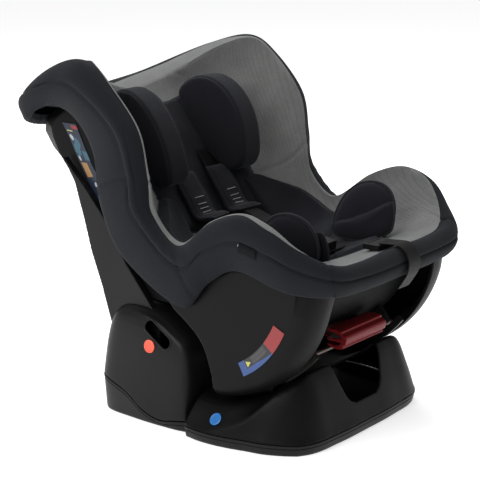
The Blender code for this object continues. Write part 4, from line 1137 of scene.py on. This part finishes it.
def make_thigh_wings():
    """A standing flap and a lower lobe beside each thigh; the far pair leans further in."""
    slope = .25
    for label, side, flap_x, lobe_x, rise in (("left", 1, .114, .102, .006),
                                              ("right", -1, .094, .082, -.004)):
        def curve(points, base_x):
            return closed_curve([at(side * (base_x + slope * (z - .31)), d - .010, z + rise)
                                 for d, z in points], 8)

        out = Vector((side, 0, -slope)).normalized()
        puff("thigh_flap_" + label, curve(THIGH_OUTLINE, flap_x), .0125, out, ["thigh_wing_" + label])
        puff("thigh_lobe_" + label, curve(THIGH_LOBE, lobe_x), .0080, out, pipe=.0016)


def inflate(bm, pins):
    """Blow a cushion up as cloth under air pressure; the lines in pins are sewn down and stay put."""
    voxel, pressure, frames = .0045, 4.0, 20
    furthest = .009             # no point moves more than this
    obj = temp(bm, "cushion")
    mod = obj.modifiers.new("remesh", "REMESH")
    mod.mode = "VOXEL"
    mod.voxel_size = voxel
    evaluated(obj)
    start = np.array([v.co for v in obj.data.vertices])
    held = groove(start[None], pins[0], 1.0, voxel)[0]
    for line in pins[1:]:
        held = np.maximum(held, groove(start[None], line, 1.0, voxel)[0])
    group = obj.vertex_groups.new(name="sewn")
    for index in np.nonzero(held > .45)[0]:
        group.add([int(index)], 1.0, "REPLACE")
    cloth = obj.modifiers.new("cloth", "CLOTH")
    cloth.settings.quality = 6
    cloth.settings.mass = 0.2
    cloth.settings.tension_stiffness = 14
    cloth.settings.compression_stiffness = 14
    cloth.settings.use_pressure = True
    cloth.settings.uniform_pressure_force = pressure
    cloth.settings.vertex_group_mass = "sewn"
    cloth.settings.effector_weights.gravity = 0
    scene = bpy.context.scene
    for number in range(1, frames + 1):
        scene.frame_set(number)
    graph = bpy.context.evaluated_depsgraph_get()
    puffed = obj.evaluated_get(graph)
    move = np.array([v.co for v in puffed.data.vertices]) - start
    length = np.linalg.norm(move, axis=1, keepdims=True)
    move *= np.minimum(1.0, furthest / np.maximum(length, TINY))
    obj.modifiers.clear()
    scene.frame_set(1)
    for vert, step in zip(obj.data.vertices, move):
        vert.co += Vector(step)
    mod = obj.modifiers.new("fine", "SUBSURF")
    mod.levels = mod.render_levels = 1
    evaluated(obj)
    out = bmesh.new()
    out.from_mesh(obj.data)
    bpy.data.objects.remove(obj)
    return out


def sew(bm, lines, depth, width):
    """Sink a bmesh's surface along sewn lines."""
    bm.normal_update()
    points = np.array([v.co for v in bm.verts])
    sink = sum(groove(points[None], line, depth, width)[0] for line in lines)
    for vert, amount in zip(bm.verts, sink):
        vert.co -= vert.normal * float(amount)


def make_head_wings():
    """Boxed head cushions: two D-shaped side panels sewn to a gusset, filled and puffed."""
    back = Vector((0, .643, .766))
    out = Vector((0, -.766, .643))
    curve = closed_curve([Vector((b, n, 0)) for b, n in WING_SIDE], 6)
    middle = Vector((-.012, -.004, 0))
    for label, side, centre, depth in (("left", 1, .084, 1.0), ("right", -1, .094, .90)):
        origin = at(side * centre, .361, .449)

        def spot(p, share, across):
            flat = middle.lerp(p, share)
            lean = .16 * (flat.y + .02)
            return (origin + back * flat.x + out * flat.y * depth
                    + Vector((side * (across * .0275 + lean), 0, 0)))

        # over one side panel, the gusset and the other panel: (share of the outline, share of the width)
        levels = [(.35, -1), (.70, -1), (.93, -.97), (1, -.80), (1, -.3), (1, .3), (1, .80), (.93, .97),
                  (.70, 1), (.35, 1)]
        bm = bmesh.new()
        bridge(bm, vertex_grid(bm, [[spot(p, share, across) for p in curve] for share, across in levels]),
               capped=True)
        bmesh.ops.triangulate(bm, faces=[f for f in bm.faces if len(f.verts) > 4])
        seams = [[spot(p, 1.0, across * .84) for p in curve + curve[:1]] for across in (-1, 1)]
        full = inflate(bm, seams)
        sew(full, seams, .0030, .0022)
        wing = put("head_wing_" + label, full, MATS["insert"], "seat",
                   ["head_pillow_" + label], 80)


def strap(name, centres, width, nodes, across=None):
    """Woven strap with rounded selvedges. across gives its width direction, by default the X axis."""
    profile = [(-1, .25), (-.985, .42), (-.93, .5), (-.86, .46), (-.5, .5), (0, .5), (.5, .5), (.86, .46),
               (.93, .5), (.985, .42), (1, .25)]
    thick = .0018
    outer, inner = [], []
    last = len(centres) - 1
    for i, here in enumerate(centres):
        along = (centres[min(i + 1, last)] - centres[max(i - 1, 0)]).normalized()
        side = Vector(across(i / last) if across else (1, 0, 0))
        side = (side - along * side.dot(along)).normalized()
        up = side.cross(along)
        outer.append([here + side * width / 2 * u + up * thick * h for u, h in profile])
        inner.append([here + side * width / 2 * u - up * thick * h for u, h in profile])
    put(name, shell_from(outer, inner), MATS["webbing"], "seat", nodes, 50)


ADJUSTER_X = .006


def make_harness():
    """Straps with their pads, from the slots in the back and the hips to the buckle, and the pull strap."""
    for label, side in SIDES:
        over = [bowl_spot(s, .875, side, .0148) for s in (10.5, 10.0, 9.5, 9.0)]
        path = over + [at(side * x, d, z) for x, d, z in
                       ((.036, .264, .3060), (.028, .224, .2990), (.0195, .185, .2945))]
        strap("harness_strap_" + label, smooth_path(path, 10), .030, ["shoulder_strap_" + label])
        pad_path = [path[1].lerp(path[0], .1)] + path[2:4] + [path[3].lerp(path[4], .8)]
        centres = smooth_path([p + Vector((0, -.0064, .0060)) for p in pad_path], 14)
        make_strap_pad("strap_pad_" + label, centres, ["shoulder_pad_" + label])
        lap = [at(side * .043, .1780, .2790), at(side * .060, .203, .2740),
               bowl_spot(7.3, .78, side, .0270), bowl_spot(7.45, .70, side, .0270)]
        strap("lap_belt_" + label, smooth_path(lap, 10), .026, ["lap_strap_" + label],
              across=lambda u: (.3 * side, 1, .6))
    low_end = buckle_turn() @ Vector((0, -.0318, .009))
    crotch = [low_end, low_end + Vector((0, -.010, .0005)), at(0, .0640, .2810)]
    strap("crotch_belt", smooth_path(crotch, 8), .034, ["crotch_strap"])
    bowl_pad("crotch_cover", steps(3.0, 3.75, 24), lambda s: both_sides(5 / 6, 8), .009, ["crotch_pad"])
    route = [(-.0135, .3029), (-.020, .3030), (-.032, .3042), (-.047, .3040), (-.060, .2960),
             (-.0665, .2800), (-.0640, .2640), (-.0560, .2500), (-.0480, .2380)]
    strap("pull_strap", smooth_path([at(ADJUSTER_X, d, z) for d, z in route], 10), .032, ["adjuster_strap"])


def make_strap_pad(name, centres, nodes):
    """Shoulder pad: thick sleeve with rounded sides, a seam along each edge and four stitched bars."""
    width, thick = .054, .013
    last = len(centres) - 1
    outer, inner = [], []
    us = [math.sin(math.radians(a)) for a in steps(-90, 90, 24)]
    for i, here in enumerate(centres):
        along = (centres[min(i + 1, last)] - centres[max(i - 1, 0)]).normalized()
        across = Vector((1, 0, 0))
        across = (across - along * across.dot(along)).normalized()
        up = across.cross(along)
        if up.z < 0:
            up = -up
        end = crown(i / last, .12)
        row, low = [], []
        for u in us:
            puffed = thick / 2 * (abs(1 - abs(u) ** 3)) ** .5 * end
            seam = .0016 * math.exp(-((abs(u) - .80) / .05) ** 2) * end
            spot = here + across * width / 2 * u * (1 - .06 * (1 - end))
            row.append(spot + up * (puffed - seam + ripple(spot, .02, .0010) * end))
            low.append(spot - up * puffed * .9)
        outer.append(row)
        inner.append(low)
    pad = put(name, shell_from(outer, inner), MATS["insert"], "seat",
              nodes, 80)
    for k in range(4):
        i = int(last * (.40 + .085 * k))
        a, b = Vector(outer[i][9]), Vector(outer[i][15])
        normal = (Vector(outer[i + 1][12]) - Vector(outer[i][12])).cross(b - a).normalized()
        if normal.z < 0:
            normal = -normal
        bar = [a.lerp(b, t) + normal * .0004 + Vector((0, 0, .0003)) for t in steps(0, 1, 6)]
        tube("%s_stitch_%d" % (name, k), bar, .0007, MATS["thread"], "seat")


def buckle_turn():
    """The buckle's own frame: its middle and its tilt."""
    return Matrix.Translation(at(0, .118, .2680)) @ Matrix.Rotation(math.radians(8), 4, "X")


def make_buckle():
    """Buckle case with a button well, tongue slots and finger hollows, its button and two tongues."""
    turn = buckle_turn()
    body = temp(block_bm((-.023, -.031, .0005), (.023, .031, .0225), turn))
    carve(body, block_bm((-.0125, -.0165, .0100), (.0125, .0125, .03), turn))
    carve(body, block_bm((-.0215, .0200, .0075), (.0215, .04, .0125), turn))
    for side in (-1, 1):
        low, high = span(side, .0215, .03)
        carve(body, block_bm((low, -.02, .006), (high, .012, .018), turn))
    moulded(body, "buckle_case", MATS["plastic"], "seat", ["buckle_body"], .0006, 6, .4)
    button = temp(block_bm((-.0119, -.0159, .0150), (.0119, .0119, .0253), turn))
    for k in range(3):
        d = -.010 + .006 * k
        carve(button, block_bm((-.008, d, .0246), (.008, d + .0018, .03), turn))
    moulded(button, "release_button", MATS["red"], "buckle_button", ["buckle_button"],
            .0004, 4, .4)
    for label, side in SIDES:
        low, high = span(side, .0012, .0205)
        tongue = temp(block_bm((low, .0204, .0085), (high, .060, .0115), turn))
        low, high = span(side, .004, .018)
        carve(tongue, block_bm((low, .047, 0), (high, .054, .03), turn))
        moulded(tongue, "latch_tongue_" + label, MATS["steel"], "seat",
                ["buckle_tongue_" + label], .0005, 3, .4)


def make_adjuster():
    """Bezel on the seat's front edge and the ribbed lever plate in it."""
    middle = ADJUSTER_X
    bezel = temp(block_bm(at(middle - .024, -.018, .2925), at(middle + .024, .010, .3015)))
    carve(bezel, block_bm(at(middle - .0185, -.0125, .2942), at(middle + .0185, .0045, .31)))
    moulded(bezel, "adjuster_frame", MATS["plastic"], "seat", ["adjuster_bezel"],
            .0006, 4, .4)
    lever = temp(block_bm(at(middle - .0181, -.0121, .2982), at(middle + .0181, .0041, .3010)))
    for k in range(4):
        d = -.003 + .0016 * k
        carve(lever, block_bm(at(middle - .012, d, .3004), at(middle + .012, d + .0008, .31)))
    moulded(lever, "adjuster_plate", MATS["blackened"], "adjuster_lever", ["adjuster_lever"],
            .0004, 3, .4)


# ---------------------------------------------------------------- labels and trim
def painted(name, place, cells, rule, looks, nodes, thick):
    """Thin film on the seat, coloured cell by cell. place(u, v, lift) gives its corners."""
    across, along = cells
    top, low = ([[place(i / along, j / across, lift) for j in range(across + 1)] for i in range(along + 1)]
                for lift in (thick, 0))
    bm = shell_from(top, low)
    bm.faces.ensure_lookup_table()
    # shell_from lays each row as pairs of a top and an under face, then the row's two ends
    for i in range(along):
        for j in range(across):
            face = bm.faces[i * (2 * across + 2) + 2 * j]
            face.material_index = rule((i + .5) / along, (j + .5) / across)
    put(name, bm, [MATS[look] for look in looks], "seat", nodes)


def make_indicators():
    """Recline guide on each skirt: a red block, a blue arc with a foot, pale lines and a pointer."""
    looks = ("film_dark", "film_red", "film_blue", "film_yellow", "film_grey")

    def rule(u, v):
        # u runs from the front upper end to the rear lower end, v outwards
        if u < .37:
            return 1
        if v > .92 - .28 * min((u - .37) / .3, 1) or u > .88:
            return 2
        if .77 < u < .86 and abs(v - .36) < (u - .77) * 2.4:
            return 3
        if .42 < u < .74 and any(abs(v - line) < .022 for line in (.14, .24, .40, .50)):
            return 4
        return 0

    for label, side in SIDES:
        def place(u, v, lift):
            radius = .1515 + .0215 * v + .0015 * u
            angle = 205.0 + 36.5 * u
            return on_arc(side * (SKIRT_FACE + .0003 + lift), radius, angle)

        painted("angle_guide_" + label, place, (46, 150), rule, looks, ["recline_indicator_" + label], .0007)


def make_information_label():
    """Sheet of plain coloured panels on the back box, in place of printed notices."""
    looks = ("film_navy", "film_white", "film_teal", "film_red", "film_tan", "film_yellow")
    left = [(.505, .450), (.490, .428), (.470, .392), (.450, .360), (.428, .330)]
    right = [(.475, .450), (.462, .425), (.444, .392), (.428, .365), (.4255, .331)]

    def place(u, v, lift):
        a = spline([(0, d, z) for d, z in left], u * 4)
        b = spline([(0, d, z) for d, z in right], u * 4)
        p = a.lerp(b, v)
        return at(-.1475 - lift, p.y, p.z)

    def rule(u, v):
        """Colour of each cell: a small red block, plain discs and blocks, and a tan panel."""
        def disc(cu, cv, radius):
            return ((u - cu) * 3.2) ** 2 + (v - cv) ** 2 < radius ** 2

        if .03 < u < .09 and v > .55:
            return 3
        if .13 < u < .15 and .08 < v < .5:
            return 5
        if disc(.24, .22, .13) or disc(.47, .2, .09) or disc(.80, .62, .10):
            return 1
        if disc(.30, .50, .20) or disc(.38, .30, .22) or (.38 < u < .48 and v > .62):
            return 2
        if .52 < u < .70 and .14 < v < .62:
            return 4
        return 0

    painted("back_label", place, (36, 110), rule, looks, ["information_label"], .0006)


def ring_of(centre, a, b, radius, sides):
    """Circle of points in the plane of a and b."""
    return [centre + (a * math.cos(t) + b * math.sin(t)) * radius
            for t in steps(0, 2 * math.pi * (sides - 1) / sides, sides - 1)]


def make_markers():
    """Round belt path markers on the base: shallow domes with a raised edge."""
    # (name, middle, outward normal, radius, slot)
    discs = [("orange", (.1855, .292, .1248), (.993, .0, .115), .0105, "orange film"),
             ("blue", (.1924, .1546, .0381), (.742, .086, .665), .0100, "blue film")]
    # (share of the radius, height over the middle)
    profile = ((.98, .0004), (1, .0010), (.985, .0018), (.90, .0021), (.86, .0019), (.4, .0021))
    for label, side in SIDES:
        for name, (x, depth, height), normal, radius, slot in discs:
            out = Vector((normal[0] * side, normal[1], normal[2])).normalized()
            a = out.orthogonal().normalized()
            foot = at(x * side, depth, height)
            bm = bmesh.new()
            bridge(bm, vertex_grid(bm, [ring_of(foot + out * lift, a, out.cross(a), radius * share, 48)
                                        for share, lift in profile]), capped=True)
            put("belt_dot_%s_%s" % (name, label), bm, MATS[name], "base",
                ["belt_marker_%s_%s" % (name, label)], 30)


def make_lock_rod():
    """Plated cross rod with chamfered, grooved ends."""
    profile = [(-.132, .0026), (-.1308, .0038), (-.127, .0040), (-.1268, .0032), (-.1252, .0032),
               (-.125, .0040), (-.06, .0040)]
    profile += [(0, .0040)] + [(-x, radius) for x, radius in profile[::-1]]
    bm = bmesh.new()
    bridge(bm, vertex_grid(bm, [ring_of(on_arc(x, .192, 226), Vector((0, 1, 0)), Vector((0, 0, 1)), radius, 32)
                                for x, radius in profile]), capped=True)
    put("cross_rod", bm, MATS["rod"], "lock_rod", ["lock_rod"], 30)


make_pads()
make_thigh_wings()
make_head_wings()
make_harness()
make_buckle()
make_adjuster()
make_indicators()
make_information_label()
make_markers()
make_lock_rod()


# ---------------------------------------------------------------- carried-over CAD nodes
SLOT_LOOKS = {"moulded plastic": "plastic", "rim fabric": "rim", "inner fabric": "inner",
              "liner foam": "foam", "insert fabric": "insert", "webbing": "webbing",
              "plated steel": "steel", "red plastic": "red", "orange film": "orange",
              "blue film": "blue", "label film": "foam"}


def dress_cad_nodes():
    slots = {row["node"]: row["material_slot"] for row in frame["record"]["subparts"]}
    for name, node in frame["nodes"].items():
        look = MATS["blackened" if name.startswith("recline_track") else SLOT_LOOKS[slots[name]]]
        node.data.materials.clear()
        node.data.materials.append(look)


dress_cad_nodes()


# ---------------------------------------------------------------- stage
def make_stage():
    """Pale floor, white surroundings and three soft boxes."""
    floor_size = 30.0
    bm = bmesh.new()
    bmesh.ops.create_grid(bm, x_segments=1, y_segments=1, size=floor_size)
    mesh = bpy.data.meshes.new("floor")
    bm.to_mesh(mesh)
    bm.free()
    mat, _, shader = nodes_of("floor_paint")
    shader.inputs["Base Color"].default_value = (0.93, 0.93, 0.93, 1)
    shader.inputs["Emission Color"].default_value = (1, 1, 1, 1)
    shader.inputs["Emission Strength"].default_value = 0.54
    shader.inputs["Roughness"].default_value = 0.8
    shader.inputs["Specular IOR Level"].default_value = 0.1
    mesh.materials.append(mat)
    floor = bpy.data.objects.new("floor", mesh)
    bpy.context.scene.collection.objects.link(floor)
    world = bpy.data.worlds.new("studio")
    world.use_nodes = True
    world.node_tree.nodes["Background"].inputs["Color"].default_value = (1, 1, 1, 1)
    world.node_tree.nodes["Background"].inputs["Strength"].default_value = 0.42
    bpy.context.scene.world = world
    middle = Vector((0, 0, 0.3))
    soft_boxes = (((-2.8, 0.2, 2.2), 2.0, 62), ((1.2, -2.6, 2.4), 2.0, 9), ((0.6, 1.2, 3.0), 2.6, 78))
    for place, size, power in soft_boxes:
        data = bpy.data.lights.new("softbox", "AREA")
        data.energy = power
        data.size = size
        light = bpy.data.objects.new("softbox", data)
        light.location = place
        light.rotation_mode = "QUATERNION"
        light.rotation_quaternion = (middle - Vector(place)).to_track_quat("-Z", "Y")
        bpy.context.scene.collection.objects.link(light)


def make_camera():
    data = bpy.data.cameras.new("camera")
    data.sensor_width = 36
    data.lens = 112.5
    camera = bpy.data.objects.new("camera", data)
    right = Vector((0.6131, -0.79, 0.0))
    up = Vector((0.1966, 0.1526, 0.9685))
    back = Vector((-0.7651, -0.5938, 0.2489))
    turn = Matrix((right, up, back)).transposed().to_4x4()
    camera.matrix_world = Matrix.Translation((-1.8594, -1.1853 + FRONT_EDGE_Y, 0.8675)) @ turn
    bpy.context.scene.collection.objects.link(camera)
    bpy.context.scene.camera = camera


make_stage()
make_camera()
bpy.context.scene.view_settings.view_transform = "Standard"
